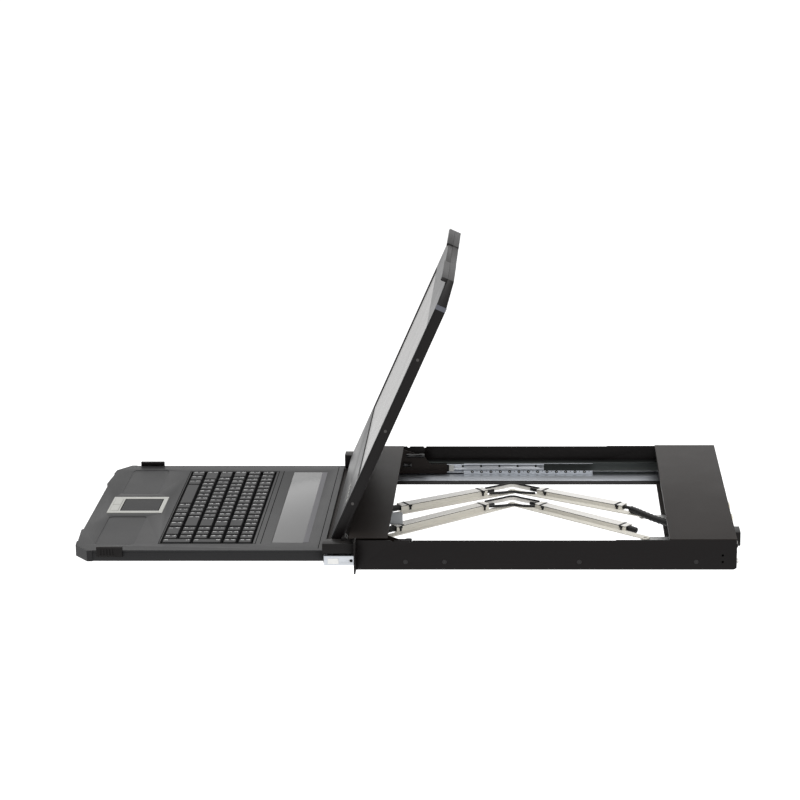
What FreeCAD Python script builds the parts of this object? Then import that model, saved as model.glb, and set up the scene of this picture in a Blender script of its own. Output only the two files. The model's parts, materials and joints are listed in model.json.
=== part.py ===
import FreeCAD, Part
import math
import os

from FreeCAD import Vector

# Rack-mount display and keyboard drawer, one rack unit high, shown fully open.
#
# Frame: +X to the user's right, +Y towards the back of the rack, +Z up.
# Origin: the middle of the four ear slots, on the rear face of the ears.
# Every height below is measured from the underside of the housing; save()
# lowers each finished piece by half an ear, so that the origin comes right.
# Right-hand pieces are drawn and left-hand ones are mirrored from them.

# ---------------------------------------------------------------- driving sizes
# Rack interface (19-inch rack, one unit)
EAR_REACH = 20.3
EAR_HEIGHT = 43.7
EAR_THICKNESS = 2.0
EAR_LEG_LENGTH = 34.0
EAR_LEG_HEIGHT = 15.0
EAR_CORNER_RADIUS = 2.0
SLOT_FROM_SIDE = 11.55
SLOT_SPACING_Z = 31.75
SLOT_LENGTH = 10.3
SLOT_WIDTH = 7.1

# Housing sheet metal
HOUSING_WIDTH = 442.0
HOUSING_DEPTH = 500.0
SIDE_HEIGHT = 41.0
SHEET = 1.2
FLANGE_WIDTH = 62.0
REAR_CORNER_RADIUS = 5.0
STEP_FROM_REAR = 159.0
STEP_DROP = 0.8
NOTCH_RADIUS = 2.0
NOTCH_PLACES = (48.0, 72.0)
COVER_DEPTH = 88.0
COVER_LIP = 5.0
COVER_SHELF = 12.0
BRACKET_HOLE_RADIUS = 1.65
BRACKET_HOLE_FROM_REAR = 18.5
BRACKET_HOLE_HEIGHT = 15.0
BRACKET_HOLE_SPACING = 9.0
SIDE_SCREW_SHARES = (0.13, 0.24, 0.62, 0.95)

# Telescopic slides
SLIDE_STEEL = 1.2
SLIDE_HEIGHT = 18.8
SLIDE_DEPTH = 16.0
SLIDE_FOOT = 47.8
SLIDE_FRONT = 4.0
SLIDE_REAR_GAP = 30.0
MID_FRONT = -43.0
MID_LENGTH = 291.0
MID_INSET = 2.6
MID_HOLE_RADIUS = 1.5
MID_HOLE_PITCH = 27.0
MID_HOLE_COUNT = 5
MID_HOLE_FROM_REAR = 12.0
MID_FRONT_HOLE_RADIUS = 2.2
CAGE_FRONT = 130.0
CAGE_LENGTH = 190.0
CAGE_STEEL = 0.6
CAGE_HEIGHT = 5.4
CAGE_WINDOW = 3.0
CAGE_WINDOW_PITCH = 13.8
INNER_LENGTH = 151.0
BUMPER_LENGTH = 7.0
RUNNING_GAP = 0.3

# Keyboard tray
TRAY_BOTTOM = 3.0
TRAY_TOP = 18.0
TRAY_WALL = 2.0
TRAY_FLOOR = 1.5
TRAY_TOP_PLATE = 3.0
TRAY_REAR = -45.0
TRAY_FRONT = -381.0
CORNER_SETBACK = 23.0
CORNER_WIDTH = 23.0
CORNER_BOW = 5.0
FRONT_NOTCH_HALF_WIDTH = 103.0
FRONT_NOTCH_DEPTH = 2.5
BUMPER_WIDTH = 40.0
BUMPER_PROUD = 1.2
PALM_RECESS_DEPTH = 0.8
PALM_RECESS_FRONT = -352.0
PALM_RECESS_REAR = -300.0
PALM_RECESS_INNER = 52.0
PALM_RECESS_MARGIN = 23.0

# Keyboard
KEY_PITCH_X = 17.2
KEY_PITCH_Y = 20.4
KEY_GAP = 1.2
KEY_TAPER = 1.8
KEY_BOTTOM = 11.4
KEY_TOP = 18.8
KEY_TRAVEL = 2.5
MAIN_UNITS = 15
PAD_UNITS = 4
PAD_GAP = 1.6
KEY_ROWS = 6
KEYBOARD_REAR = -143.0
KEYBOARD_MARGIN = 1.0
BED_THICKNESS = 1.5
STEM_WIDTH = 3.0
STEM_CLEARANCE = 0.06
STEM_INSERT = 0.9
STEM_BAR_UNITS = 3
STEM_BAR_SPREAD = 50.0

# Touchpad
PAD_OFFSET = -3.5
PAD_FRAME_WIDTH = 73.0
PAD_FRAME_FRONT = -359.0
PAD_FRAME_REAR = -282.0
PAD_FRAME_THICKNESS = 1.6
PAD_FRAME_PROUD = 0.6
PAD_WIDTH = 55.0
PAD_FRONT = -342.0
PAD_REAR = -288.0
PAD_THICKNESS = 1.2
PAD_BUTTON_FRONT = -356.0
PAD_BUTTON_REAR = -344.5
PAD_BUTTON_GAP = 1.0
PAD_BUTTON_PROUD = 0.1
PAD_BUTTON_TRAVEL = 0.8

# Grey window between the keyboard and the display
WINDOW_WIDTH = 324.0
WINDOW_FRONT = -117.0
WINDOW_REAR = -71.0
WINDOW_THICKNESS = 1.6

# Side catches at the front of the tray
CATCH_FRONT = -345.0
CATCH_REAR = -311.0
CATCH_THICKNESS = 4.2
CATCH_PROUD = 5.7
CATCH_DROP = 9.0
CATCH_HOOK = 1.3
CATCH_TRAVEL = 5.0

# Rear deck of the moving tray
DECK_FRONT = -10.0
DECK_REAR = 41.0
BASE_REAR = -4.0
BASE_TOP = 14.0
BASE_STEEL = 1.2
DECK_ARM_REAR = 105.0
DECK_ARM_HEIGHT = 15.0
DECK_SHOULDER_REAR = 72.0
DECK_SHOULDER_HEIGHT = 30.0

# Display
HINGE_Y = -17.0
HINGE_Z = 35.0
PIN_RADIUS = 2.5
PIN_CLEARANCE = 0.06
LUG_RADIUS = 4.0
LUG_WIDTH = 7.0
HINGE_BLOCK_FRONT = -45.0
HINGE_BLOCK_TOP = 34.0
HINGE_BLOCK_WIDTH = 7.0
SLIDE_SIDE_GAP = 1.8
BASE_RIB_COUNT = 4
HINGE_BLOCK_OVERHANG = 14.0
LEAN_BACK = 24.3
LCD_SIDE_GAP = 2.0
LCD_BACK = 1.8
LCD_BELOW_HINGE = 10.0
LCD_CORNER_DROP = 29.0
LCD_CHAMFER = 34.0
LCD_THICKNESS = 14.2
LCD_SHELL = 1.5
LCD_WALL = 4.0
BEZEL_THICKNESS = 1.6
BEZEL_INSET = 1.5
LIP_GAP = 0.6
LIP_WIDTH = 4.4
LIP_HOOK = 7.0
GRIP_HALF_WIDTH = 57.0
GRIP_DEPTH = 1.5
SCREEN_BORDER = 9.4
SCREEN_HEIGHT = 229.5
SCREEN_BOTTOM = 76.0
PANEL_THICKNESS = 6.0
PANEL_BORDER = 2.0
OSD_COUNT = 5
OSD_PITCH = 16.0
OSD_LENGTH = 9.0
OSD_WIDTH = 4.0
OSD_HEIGHT = 40.0
OSD_PROUD = 0.5
OSD_TRAVEL = 0.8

# Cable arms (two folding arms, one above the other)
FAR_ARM_X = 46.0
NEAR_ARM_X = 106.0
ARM_FRONT_Y = 20.0
ARM_REAR_GAP = 27.0
FAR_ARM_REACH = 116.0
NEAR_ARM_REACH = 152.0
FAR_ARM_LEVEL = 15.6
NEAR_ARM_LEVEL = 3.6
BAR_STEEL = 1.5
BAR_WIDTH = 12.0
DUCT_WIDTH = 14.0
DUCT_HEIGHT = 7.2
DUCT_WALL = 1.0
DUCT_START = 38.0
DUCT_SIDE = 5.0
RIVET_RADIUS = 2.5
RIVET_HEAD_RADIUS = 4.0
RIVET_HEAD = 1.0
CLIP_WIDTH = 4.0
CLIP_THICKNESS = 0.9
CABLE_RADIUS = 2.4
CABLE_STUB = 14.0
FINGER_WIDTH = 14.0
REAR_FOOT_INSET = 14.0
REAR_CABLE_COUNT = 3
REAR_CABLE_RADIUS = 1.7
REAR_CABLE_PITCH = 5.0
REAR_CABLE_BEND = 9.0
REAR_CABLE_DROP = 4.5
REAR_CABLE_REACH = 11.0
REAR_CABLE_START = 20.0
REAR_CABLE_RUN = 14.0
REAR_CABLE_END_INSET = 20.0
REAR_CABLE_END_DEPTH = 24.0
REAR_FOOT_LENGTH = 8.0

# Rear section
BOARD_THICKNESS = 1.6
BOARD_HEIGHT = 8.0
BOARD_GAP = 2.0
BOARD_WIDTH = 250.0
BOARD_DEPTH = 46.0
BOARD_FROM_SIDE = 114.8
BOARD_POST_RADIUS = 3.0
BOARD_POST_INSET = 8.0
CHIP_SIZE = 22.0
CHIP_HEIGHT = 2.5
CHIP_COUNT = 2
CHIP_PITCH = 40.0
SINK_WIDTH = 30.0
SINK_HEIGHT = 9.0
DRIVER_BOARD_WIDTH = 155.0
DRIVER_BOARD_DEPTH = 50.0
DRIVER_BOARD_FOOT = 12.0
DRIVER_PART_SIZE = 18.0
DRIVER_PART_HEIGHT = 5.0
DRIVER_PART_PITCH = 45.0
VIDEO_FROM_SIDE = (155.8, 207.8)
VIDEO_WIDTH = 31.0
VIDEO_HEIGHT = 12.5
VIDEO_SHELL_WIDTH = 17.0
VIDEO_SHELL_NARROW = 1.2
VIDEO_SHELL_HEIGHT = 8.4
VIDEO_SHELL_PROUD = 6.0
VIDEO_NUT_RADIUS = 2.6
VIDEO_NUT_OFFSET = 12.5
VIDEO_NUT_PROUD = 5.0
USB_FROM_SIDE = 118.8
USB_WIDTH = 12.5
USB_HEIGHT = 11.0
USB_PROUD = 2.5
INLET_FROM_SIDE = 78.8
INLET_WIDTH = 27.0
INLET_HEIGHT = 19.5
INLET_PROUD = 10.0
INLET_RECESS = 11.0
INLET_WALL = 2.4
INLET_PIN_WIDTH = 2.0
INLET_PIN_HEIGHT = 3.0
INLET_PIN_PITCH = 7.0
INLET_PIN_RISE = 1.5
INLET_PIN_PROUD = 6.0
SWITCH_FROM_SIDE = 32.8
SWITCH_WIDTH = 21.0
SWITCH_HEIGHT = 15.0
SWITCH_PROUD = 1.6
SWITCH_SIDE_WALL = 1.8
SWITCH_TOP_WALL = 1.2
SWITCH_SIDE_GAP = 0.6
SWITCH_TOP_GAP = 1.4
SWITCH_DEPTH = 12.0
ROCKER_BACK = 4.0
ROCKER_LOW = 2.6
ROCKER_MIDDLE = 1.6
ROCKER_HIGH = 4.2
SOCKET_DEPTH = 14.0
SOCKET_PLATE = 0.8
SOCKET_GAP = 0.2
SOCKET_RIM = 1.5
SOCKET_DROP = 1.0
GROUND_SCREW_RADIUS = 3.5
GROUND_SCREW_PROUD = 3.0
GROUND_SCREW_INSET = 9.0
PANEL_SCREW_RADIUS = 2.5
PANEL_SCREW_PROUD = 1.2
PANEL_SCREW_INSET = 12.0
PANEL_SCREW_DROP = 7.0
SWITCH_PIN_RADIUS = 1.0
SCREW_RADIUS = 3.0
SCREW_GAP = 0.1

# ------------------------------------------------------------- derived values
HALF = HOUSING_WIDTH / 2
HALF_RACK = HALF + EAR_REACH
INSIDE = HALF - SHEET
COVER_FRONT = HOUSING_DEPTH - COVER_DEPTH
FLOOR_HALF = HALF - FLANGE_WIDTH
SLIDE_LENGTH = HOUSING_DEPTH - SLIDE_FRONT - SLIDE_REAR_GAP
SLIDE_BASE = SHEET
SLIDE_TOP = SLIDE_BASE + SLIDE_HEIGHT
SLIDE_MOUTH = INSIDE - SLIDE_DEPTH
CAGE_LEG_Z = SLIDE_BASE + SLIDE_STEEL + RUNNING_GAP
MID_BOTTOM = CAGE_LEG_Z + CAGE_STEEL + 1.0 + RUNNING_GAP
MID_TOP = SLIDE_TOP - SLIDE_STEEL - CAGE_STEEL - 2 * RUNNING_GAP
MID_OUTER = INSIDE - MID_INSET
MID_MOUTH = SLIDE_MOUTH + 2 * RUNNING_GAP
INNER_OUTER = MID_OUTER - SLIDE_STEEL - RUNNING_GAP
INNER_BOTTOM = MID_BOTTOM + SLIDE_STEEL + RUNNING_GAP
INNER_TOP = MID_TOP - SLIDE_STEEL - RUNNING_GAP
CAGE_X = SLIDE_MOUTH - RUNNING_GAP
BLOCK_OUTER = SLIDE_MOUTH - SLIDE_SIDE_GAP
HALF_TRAY = BLOCK_OUTER - HINGE_BLOCK_WIDTH
TRAY_WIDTH = 2 * HALF_TRAY
PLATE_BOTTOM = TRAY_TOP - TRAY_TOP_PLATE
KEYBOARD_WIDTH = (MAIN_UNITS + PAD_UNITS) * KEY_PITCH_X + PAD_GAP
KEYBOARD_FRONT = KEYBOARD_REAR - KEY_ROWS * KEY_PITCH_Y
HALF_LCD = HALF_TRAY - LCD_SIDE_GAP
LIP_FOOT = HINGE_Y - TRAY_FRONT + LIP_GAP
LCD_TOP = LIP_FOOT + LIP_WIDTH
LCD_CORNER = LCD_TOP - LCD_CORNER_DROP
SCREEN_WIDTH = 2 * (HALF_LCD - SCREEN_BORDER)
HALF_DECK = BLOCK_OUTER + HINGE_BLOCK_OVERHANG
ARM_REAR_Y = COVER_FRONT - ARM_REAR_GAP
REAR_FOOT_Y = COVER_FRONT + REAR_FOOT_INSET
PORT_HEIGHT = (SHEET + SIDE_HEIGHT) / 2 - SOCKET_DROP


# ------------------------------------------------------------------- helpers
def block(x, y, z):
    """A box between pairs of coordinates."""
    return Part.makeBox(x[1] - x[0], y[1] - y[0], z[1] - z[0], Vector(x[0], y[0], z[0]))


def centred(middle, width):
    return (middle - width / 2, middle + width / 2)


def rod(radius, start, direction, length):
    return Part.makeCylinder(radius, length, Vector(*start), Vector(*direction))


def prism(points, direction):
    """A closed outline of points, pushed along a direction."""
    corners = [Vector(*point) for point in points]
    face = Part.Face(Part.makePolygon(corners + corners[:1]))
    return face.extrude(Vector(*direction))


def fuse(first, *others):
    return first.multiFuse(list(others)).removeSplitter()


def tube(points, bend, radius):
    """A cable of straight runs joined by tangent arcs of one bend radius."""
    corners = [Vector(*point) for point in points]
    edges = []
    start = corners[0]
    for before, corner, after in zip(corners, corners[1:], corners[2:]):
        back = (before - corner).normalize()
        ahead = (after - corner).normalize()
        half_angle = back.getAngle(ahead) / 2
        setback = bend / math.tan(half_angle)
        first = corner + back * setback
        last = corner + ahead * setback
        inward = (back + ahead).normalize()
        middle = corner + inward * (bend / math.sin(half_angle) - bend)
        edges.append(Part.LineSegment(start, first).toShape())
        edges.append(Part.Arc(first, middle, last).toShape())
        start = last
    edges.append(Part.LineSegment(start, corners[-1]).toShape())
    along_first = corners[1] - corners[0]
    ring = Part.Wire(Part.makeCircle(radius, corners[0], along_first))
    return Part.Wire(edges).makePipeShell([ring], True, False)


def mirrored(shape):
    return shape.mirror(Vector(0, 0, 0), Vector(1, 0, 0))


def both(shape):
    """The right-hand piece and its mirror image."""
    return [shape, mirrored(shape)]


def rounded(shape, radius, is_edge):
    """Fillet the edges whose middle passes the test."""
    edges = [e for e in shape.Edges if is_edge(e.CenterOfMass, e)]
    return shape.makeFillet(radius, edges)


def runs_along(edge, axis):
    first, last = edge.Vertexes[0].Point, edge.Vertexes[-1].Point
    step = last - first
    return step.Length > 0 and abs(abs(step.normalize().dot(axis)) - 1) < 1e-6


def upright(point, edge):
    return runs_along(edge, Vector(0, 0, 1))


def save(name, *solids):
    drop = Vector(0, 0, -EAR_HEIGHT / 2)
    pieces = [solid.translated(drop) for solid in solids]
    shape = pieces[0] if len(pieces) == 1 else Part.makeCompound(pieces)
    shape.exportStep("parts/" + name + ".step")


# ------------------------------------------------------------------- housing
def side_plate():
    """Folded side of the housing: a web, an inward bottom flange and a cover shelf."""
    front_height = SIDE_HEIGHT - STEP_DROP
    step_y = HOUSING_DEPTH - STEP_FROM_REAR
    web = prism(
        [
            (INSIDE, 0, 0),
            (INSIDE, HOUSING_DEPTH, 0),
            (INSIDE, HOUSING_DEPTH, SIDE_HEIGHT),
            (INSIDE, step_y, SIDE_HEIGHT),
            (INSIDE, step_y, front_height),
            (INSIDE, 0, front_height),
        ],
        (SHEET, 0, 0),
    )
    web = rounded(
        web,
        REAR_CORNER_RADIUS,
        lambda p, e: p.y > HOUSING_DEPTH - 0.1 and p.z < 0.1 and runs_along(e, Vector(1, 0, 0)),
    )
    flange = block(
        (FLOOR_HALF, INSIDE), (0, HOUSING_DEPTH - REAR_CORNER_RADIUS), (0, SHEET)
    )
    shelf = block(
        (HALF - COVER_SHELF, INSIDE),
        (COVER_FRONT + 2 * SHEET, HOUSING_DEPTH - 2 * SHEET),
        (SIDE_HEIGHT - SHEET, SIDE_HEIGHT),
    )
    plate = fuse(web, flange, shelf)
    for y in NOTCH_PLACES:
        plate = plate.cut(rod(NOTCH_RADIUS, (INSIDE - 1, y, front_height), (1, 0, 0), SHEET + 2))
    for z in bracket_hole_heights():
        y = HOUSING_DEPTH - BRACKET_HOLE_FROM_REAR
        plate = plate.cut(rod(BRACKET_HOLE_RADIUS, (INSIDE - 1, y, z), (1, 0, 0), SHEET + 2))
    for y, z in side_screw_places():
        hole = rod(SCREW_RADIUS + SCREW_GAP, (INSIDE - 1, y, z), (1, 0, 0), SHEET + 2)
        plate = plate.cut(hole)
    return plate


def bracket_hole_heights():
    return [BRACKET_HOLE_HEIGHT + s * BRACKET_HOLE_SPACING / 2 for s in (-1, 1)]


def side_screw_places():
    """Where flat screws hold the outer rail to the side plate."""
    low = SLIDE_BASE + SLIDE_HEIGHT / 2
    return [(SLIDE_FRONT + share * SLIDE_LENGTH, low) for share in SIDE_SCREW_SHARES]


def ear():
    """Front ear: a slotted face and a leg welded inside the side plate."""
    inner = INSIDE - SHEET
    face = block((inner, HALF_RACK), (-EAR_THICKNESS, 0), (0, EAR_HEIGHT))
    face = rounded(
        face,
        EAR_CORNER_RADIUS,
        lambda p, e: p.x > HALF_RACK - 0.1 and runs_along(e, Vector(0, 1, 0)),
    )
    leg_top = SIDE_HEIGHT - STEP_DROP - SHEET
    leg = block((inner, INSIDE), (0, EAR_LEG_LENGTH), (leg_top - EAR_LEG_HEIGHT, leg_top))
    for side in (-1, 1):
        z = EAR_HEIGHT / 2 + side * SLOT_SPACING_Z / 2
        face = face.cut(ear_slot(HALF + SLOT_FROM_SIDE, z))
    return fuse(face, leg)


def ear_slot(x, z):
    reach = SLOT_LENGTH / 2 - SLOT_WIDTH / 2
    deep = (-EAR_THICKNESS - 1, 1)
    middle = block((x - reach, x + reach), deep, (z - SLOT_WIDTH / 2, z + SLOT_WIDTH / 2))
    ends = [rod(SLOT_WIDTH / 2, (x + s * reach, deep[0], z), (0, 1, 0), deep[1] - deep[0]) for s in (-1, 1)]
    return fuse(middle, *ends)


def rear_cover():
    top = block((-HALF, HALF), (COVER_FRONT, HOUSING_DEPTH), (SIDE_HEIGHT, SIDE_HEIGHT + SHEET))
    lip_half = HALF - COVER_SHELF - SHEET
    lip = block(
        (-lip_half, lip_half),
        (COVER_FRONT, COVER_FRONT + SHEET),
        (SIDE_HEIGHT - COVER_LIP, SIDE_HEIGHT),
    )
    return fuse(top, lip)


def rear_floor():
    return block((-FLOOR_HALF, FLOOR_HALF), (COVER_FRONT, HOUSING_DEPTH), (0, SHEET))


def opening(from_side, width, height):
    """An opening of the rear panel: centre x, centre z, width and height."""
    return (INSIDE - from_side, PORT_HEIGHT, width, height)


def video_openings():
    return [opening(from_side, VIDEO_WIDTH, VIDEO_HEIGHT) for from_side in VIDEO_FROM_SIDE]


def usb_opening():
    return opening(USB_FROM_SIDE, USB_WIDTH, USB_HEIGHT)


def inlet_opening():
    return opening(INLET_FROM_SIDE, INLET_WIDTH, INLET_HEIGHT)


def switch_opening():
    return opening(SWITCH_FROM_SIDE, SWITCH_WIDTH, SWITCH_HEIGHT)


def rear_panel():
    panel = block((-INSIDE, INSIDE), (HOUSING_DEPTH - SHEET, HOUSING_DEPTH), (SHEET, SIDE_HEIGHT))
    for x, z, width, height in video_openings() + [usb_opening(), inlet_opening(), switch_opening()]:
        hole = block(
            centred(x, width),
            (HOUSING_DEPTH - 2 * SHEET, HOUSING_DEPTH + 1),
            centred(z, height),
        )
        panel = panel.cut(hole)
    return panel


def connector(place, proud, flange):
    """A socket shell through the rear panel with a flange on the panel's face."""
    x, z, width, height = place
    shell = block(
        centred(x, width - 2 * SOCKET_GAP),
        (HOUSING_DEPTH - SOCKET_DEPTH, HOUSING_DEPTH + proud),
        centred(z, height - 2 * SOCKET_GAP),
    )
    plate = block(
        centred(x, width + 2 * flange),
        (HOUSING_DEPTH, HOUSING_DEPTH + SOCKET_PLATE),
        centred(z, height + 2 * SOCKET_RIM),
    )
    return fuse(shell, plate)


def video_port(place):
    """Connector with a tapered metal shell and a nut at each side."""
    x, z = place[:2]
    y = HOUSING_DEPTH
    half = VIDEO_SHELL_WIDTH / 2
    rise = VIDEO_SHELL_HEIGHT / 2
    outline = [
        (x - half, y, z + rise),
        (x + half, y, z + rise),
        (x + half - VIDEO_SHELL_NARROW, y, z - rise),
        (x - half + VIDEO_SHELL_NARROW, y, z - rise),
    ]
    shell = prism(outline, (0, VIDEO_SHELL_PROUD, 0))
    nuts = [
        rod(VIDEO_NUT_RADIUS, (x + side * VIDEO_NUT_OFFSET, y, z), (0, 1, 0), VIDEO_NUT_PROUD)
        for side in (-1, 1)
    ]
    return fuse(connector(place, SOCKET_PLATE, 2 * SOCKET_RIM), shell, *nuts)


def rear_ports():
    ports = [video_port(place) for place in video_openings()]
    return ports + [connector(usb_opening(), USB_PROUD, SOCKET_RIM)]


def power_socket():
    """Three-pin inlet: a flanged shell with a deep recess and its pins."""
    x, z, width, height = inlet_opening()
    shell = connector(inlet_opening(), INLET_PROUD, 2 * SOCKET_RIM)
    back = HOUSING_DEPTH - INLET_RECESS
    recess = block(
        centred(x, width - 2 * INLET_WALL),
        (back, HOUSING_DEPTH + INLET_PROUD + 1),
        centred(z, height - 2 * INLET_WALL),
    )
    shell = shell.cut(recess)
    low = z + INLET_PIN_RISE
    pins = [
        block(
            centred(x + step * INLET_PIN_PITCH, INLET_PIN_WIDTH),
            (back, HOUSING_DEPTH + INLET_PIN_PROUD),
            (low, low + INLET_PIN_HEIGHT),
        )
        for step in (-1, 0, 1)
    ]
    return fuse(shell, *pins)


def switch_pivot():
    return (HOUSING_DEPTH - SWITCH_PIN_RADIUS, PORT_HEIGHT)


def switch_frame():
    """Frame of the power switch, with a small bore at each side for the rocker's pin."""
    x, z, width, height = switch_opening()
    outer = connector(switch_opening(), SWITCH_PROUD, SOCKET_RIM)
    hollow = block(
        centred(x, width - 2 * SWITCH_SIDE_WALL),
        (HOUSING_DEPTH - SWITCH_DEPTH, HOUSING_DEPTH + SWITCH_PROUD + 1),
        centred(z, height - 2 * SWITCH_TOP_WALL),
    )
    bore_length = width - SWITCH_SIDE_WALL
    bore_start = (x - bore_length / 2, *switch_pivot())
    bore = rod(SWITCH_PIN_RADIUS + PIN_CLEARANCE, bore_start, (1, 0, 0), bore_length)
    return outer.cut(hollow).cut(bore)


def power_switch():
    """Rocker with its pin, pressed in at the bottom."""
    x, z, width, height = switch_opening()
    half_width = width / 2 - SWITCH_SIDE_WALL - SWITCH_SIDE_GAP
    half = height / 2 - SWITCH_TOP_WALL - SWITCH_TOP_GAP
    left = x - half_width
    y = HOUSING_DEPTH
    outline = [
        (left, y - ROCKER_BACK, z - half + 1),
        (left, y + ROCKER_LOW, z - half),
        (left, y + ROCKER_MIDDLE, z),
        (left, y + ROCKER_HIGH, z + half),
        (left, y - ROCKER_BACK, z + half - 1),
    ]
    rocker = prism(outline, (2 * half_width, 0, 0))
    reach = SWITCH_SIDE_GAP + SWITCH_SIDE_WALL / 2 - 2 * PIN_CLEARANCE
    pin = rod(SWITCH_PIN_RADIUS, (left - reach, *switch_pivot()), (1, 0, 0), 2 * (half_width + reach))
    return fuse(rocker, pin)


def main_board():
    """Control board behind the rear panel, on four posts, with its larger parts."""
    y0 = REAR_FOOT_Y + REAR_FOOT_LENGTH + BOARD_GAP
    y1 = y0 + BOARD_DEPTH
    x1 = INSIDE - BOARD_FROM_SIDE
    x0 = x1 - BOARD_WIDTH
    top = BOARD_HEIGHT + BOARD_THICKNESS
    board = block((x0, x1), (y0, y1), (BOARD_HEIGHT, top))
    inset = BOARD_POST_INSET
    posts = [
        rod(BOARD_POST_RADIUS, (x, y, SHEET), (0, 0, 1), BOARD_HEIGHT - SHEET)
        for x in (x0 + inset, x1 - inset)
        for y in (y0 + inset, y1 - inset)
    ]
    middle = (y0 + y1) / 2
    parts = []
    for index in range(CHIP_COUNT):
        centre = x0 + (index + 1) * CHIP_PITCH
        parts.append(block(centred(centre, CHIP_SIZE), centred(middle, CHIP_SIZE), (top, top + CHIP_HEIGHT)))
    centre = x0 + (CHIP_COUNT + 1) * CHIP_PITCH
    parts.append(block(centred(centre, SINK_WIDTH), centred(middle, CHIP_SIZE), (top, top + SINK_HEIGHT)))
    return fuse(board, *posts, *parts)


def housing_screws():
    """Heads on the side plates, the earth screw and the screws of the rear panel."""
    heads = []
    for y, z in side_screw_places():
        heads += both(rod(SCREW_RADIUS, (INSIDE, y, z), (1, 0, 0), SHEET))
    ground_x = INSIDE - GROUND_SCREW_INSET
    ground = rod(
        GROUND_SCREW_RADIUS, (ground_x, HOUSING_DEPTH, GROUND_SCREW_INSET), (0, 1, 0), GROUND_SCREW_PROUD
    )
    panel_x = INSIDE - PANEL_SCREW_INSET
    panel_z = SIDE_HEIGHT - PANEL_SCREW_DROP
    panel = rod(PANEL_SCREW_RADIUS, (panel_x, HOUSING_DEPTH, panel_z), (0, 1, 0), PANEL_SCREW_PROUD)
    return heads + [ground] + both(panel)


# -------------------------------------------------------------------- slides
def outer_rail():
    """C-shaped member on the side plate, with a wide foot on the bottom flange."""
    inner = INSIDE - SLIDE_STEEL
    foot_x = INSIDE - SLIDE_FOOT
    y = SLIDE_FRONT
    lip = SLIDE_TOP - SLIDE_STEEL
    foot = SLIDE_BASE + SLIDE_STEEL
    outline = [
        (foot_x, y, SLIDE_BASE),
        (INSIDE, y, SLIDE_BASE),
        (INSIDE, y, SLIDE_TOP),
        (SLIDE_MOUTH, y, SLIDE_TOP),
        (SLIDE_MOUTH, y, lip),
        (inner, y, lip),
        (inner, y, foot),
        (foot_x, y, foot),
    ]
    return prism(outline, (0, SLIDE_LENGTH, 0))


def mid_rail():
    """Intermediate member, open towards the tray, with a row of holes in its web."""
    y = MID_FRONT
    web = MID_OUTER - SLIDE_STEEL
    outline = [
        (MID_OUTER, y, MID_BOTTOM),
        (MID_OUTER, y, MID_TOP),
        (MID_MOUTH, y, MID_TOP),
        (MID_MOUTH, y, MID_TOP - SLIDE_STEEL),
        (web, y, MID_TOP - SLIDE_STEEL),
        (web, y, MID_BOTTOM + SLIDE_STEEL),
        (MID_MOUTH, y, MID_BOTTOM + SLIDE_STEEL),
        (MID_MOUTH, y, MID_BOTTOM),
    ]
    rail = prism(outline, (0, MID_LENGTH, 0))
    middle = (MID_BOTTOM + MID_TOP) / 2
    last = MID_FRONT + MID_LENGTH - MID_HOLE_FROM_REAR
    for index in range(MID_HOLE_COUNT):
        hole_y = last - index * MID_HOLE_PITCH
        rail = rail.cut(rod(MID_HOLE_RADIUS, (web - 1, hole_y, middle), (1, 0, 0), SLIDE_STEEL + 2))
    for hole_y in (MID_FRONT + 8.0, MID_FRONT + 36.0):
        rail = rail.cut(rod(MID_FRONT_HOLE_RADIUS, (web - 1, hole_y, middle), (1, 0, 0), SLIDE_STEEL + 2))
    return rail


def ball_cage():
    """Two strips that keep the balls apart, below and above the middle member."""
    leg_top = MID_BOTTOM - RUNNING_GAP
    outer = MID_OUTER - 1.0
    leg = block((CAGE_X, outer), (CAGE_FRONT, CAGE_FRONT + CAGE_LENGTH), (CAGE_LEG_Z, leg_top))
    wall = block(
        (CAGE_X - CAGE_STEEL, CAGE_X),
        (CAGE_FRONT, CAGE_FRONT + CAGE_LENGTH),
        (CAGE_LEG_Z, CAGE_LEG_Z + CAGE_HEIGHT),
    )
    lower = fuse(leg, wall)
    count = int(CAGE_LENGTH / CAGE_WINDOW_PITCH)
    first = CAGE_FRONT + (CAGE_LENGTH - (count - 1) * CAGE_WINDOW_PITCH) / 2
    low = leg_top + 0.4
    for index in range(count):
        y = first + index * CAGE_WINDOW_PITCH
        window = block(
            (CAGE_X - 2 * CAGE_STEEL, CAGE_X + 0.01),
            (y - CAGE_WINDOW / 2, y + CAGE_WINDOW / 2),
            (low, low + CAGE_WINDOW),
        )
        lower = lower.cut(window)
    upper_z = MID_TOP + RUNNING_GAP
    span = (CAGE_FRONT, CAGE_FRONT + CAGE_LENGTH)
    upper = block((MID_MOUTH + 1, outer), span, (upper_z, upper_z + CAGE_STEEL))
    return [lower, upper]


def inner_rail():
    """Bar that runs in the middle member, with a rib out of its mouth to the tray."""
    bar = block(
        (MID_MOUTH + 0.4, INNER_OUTER), (MID_FRONT, MID_FRONT + INNER_LENGTH), (INNER_BOTTOM, INNER_TOP)
    )
    rib_low = CAGE_LEG_Z + CAGE_HEIGHT + 1.0
    span = (MID_FRONT, MID_FRONT + INNER_LENGTH)
    rib = block((BLOCK_OUTER, MID_MOUTH + 0.4), span, (rib_low, INNER_TOP - 1.0))
    return fuse(bar, rib)


def rail_bumper():
    y = MID_FRONT + INNER_LENGTH
    return block((MID_MOUTH + 2.0, INNER_OUTER - 1.0), (y, y + BUMPER_LENGTH), (INNER_BOTTOM, INNER_TOP))


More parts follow.
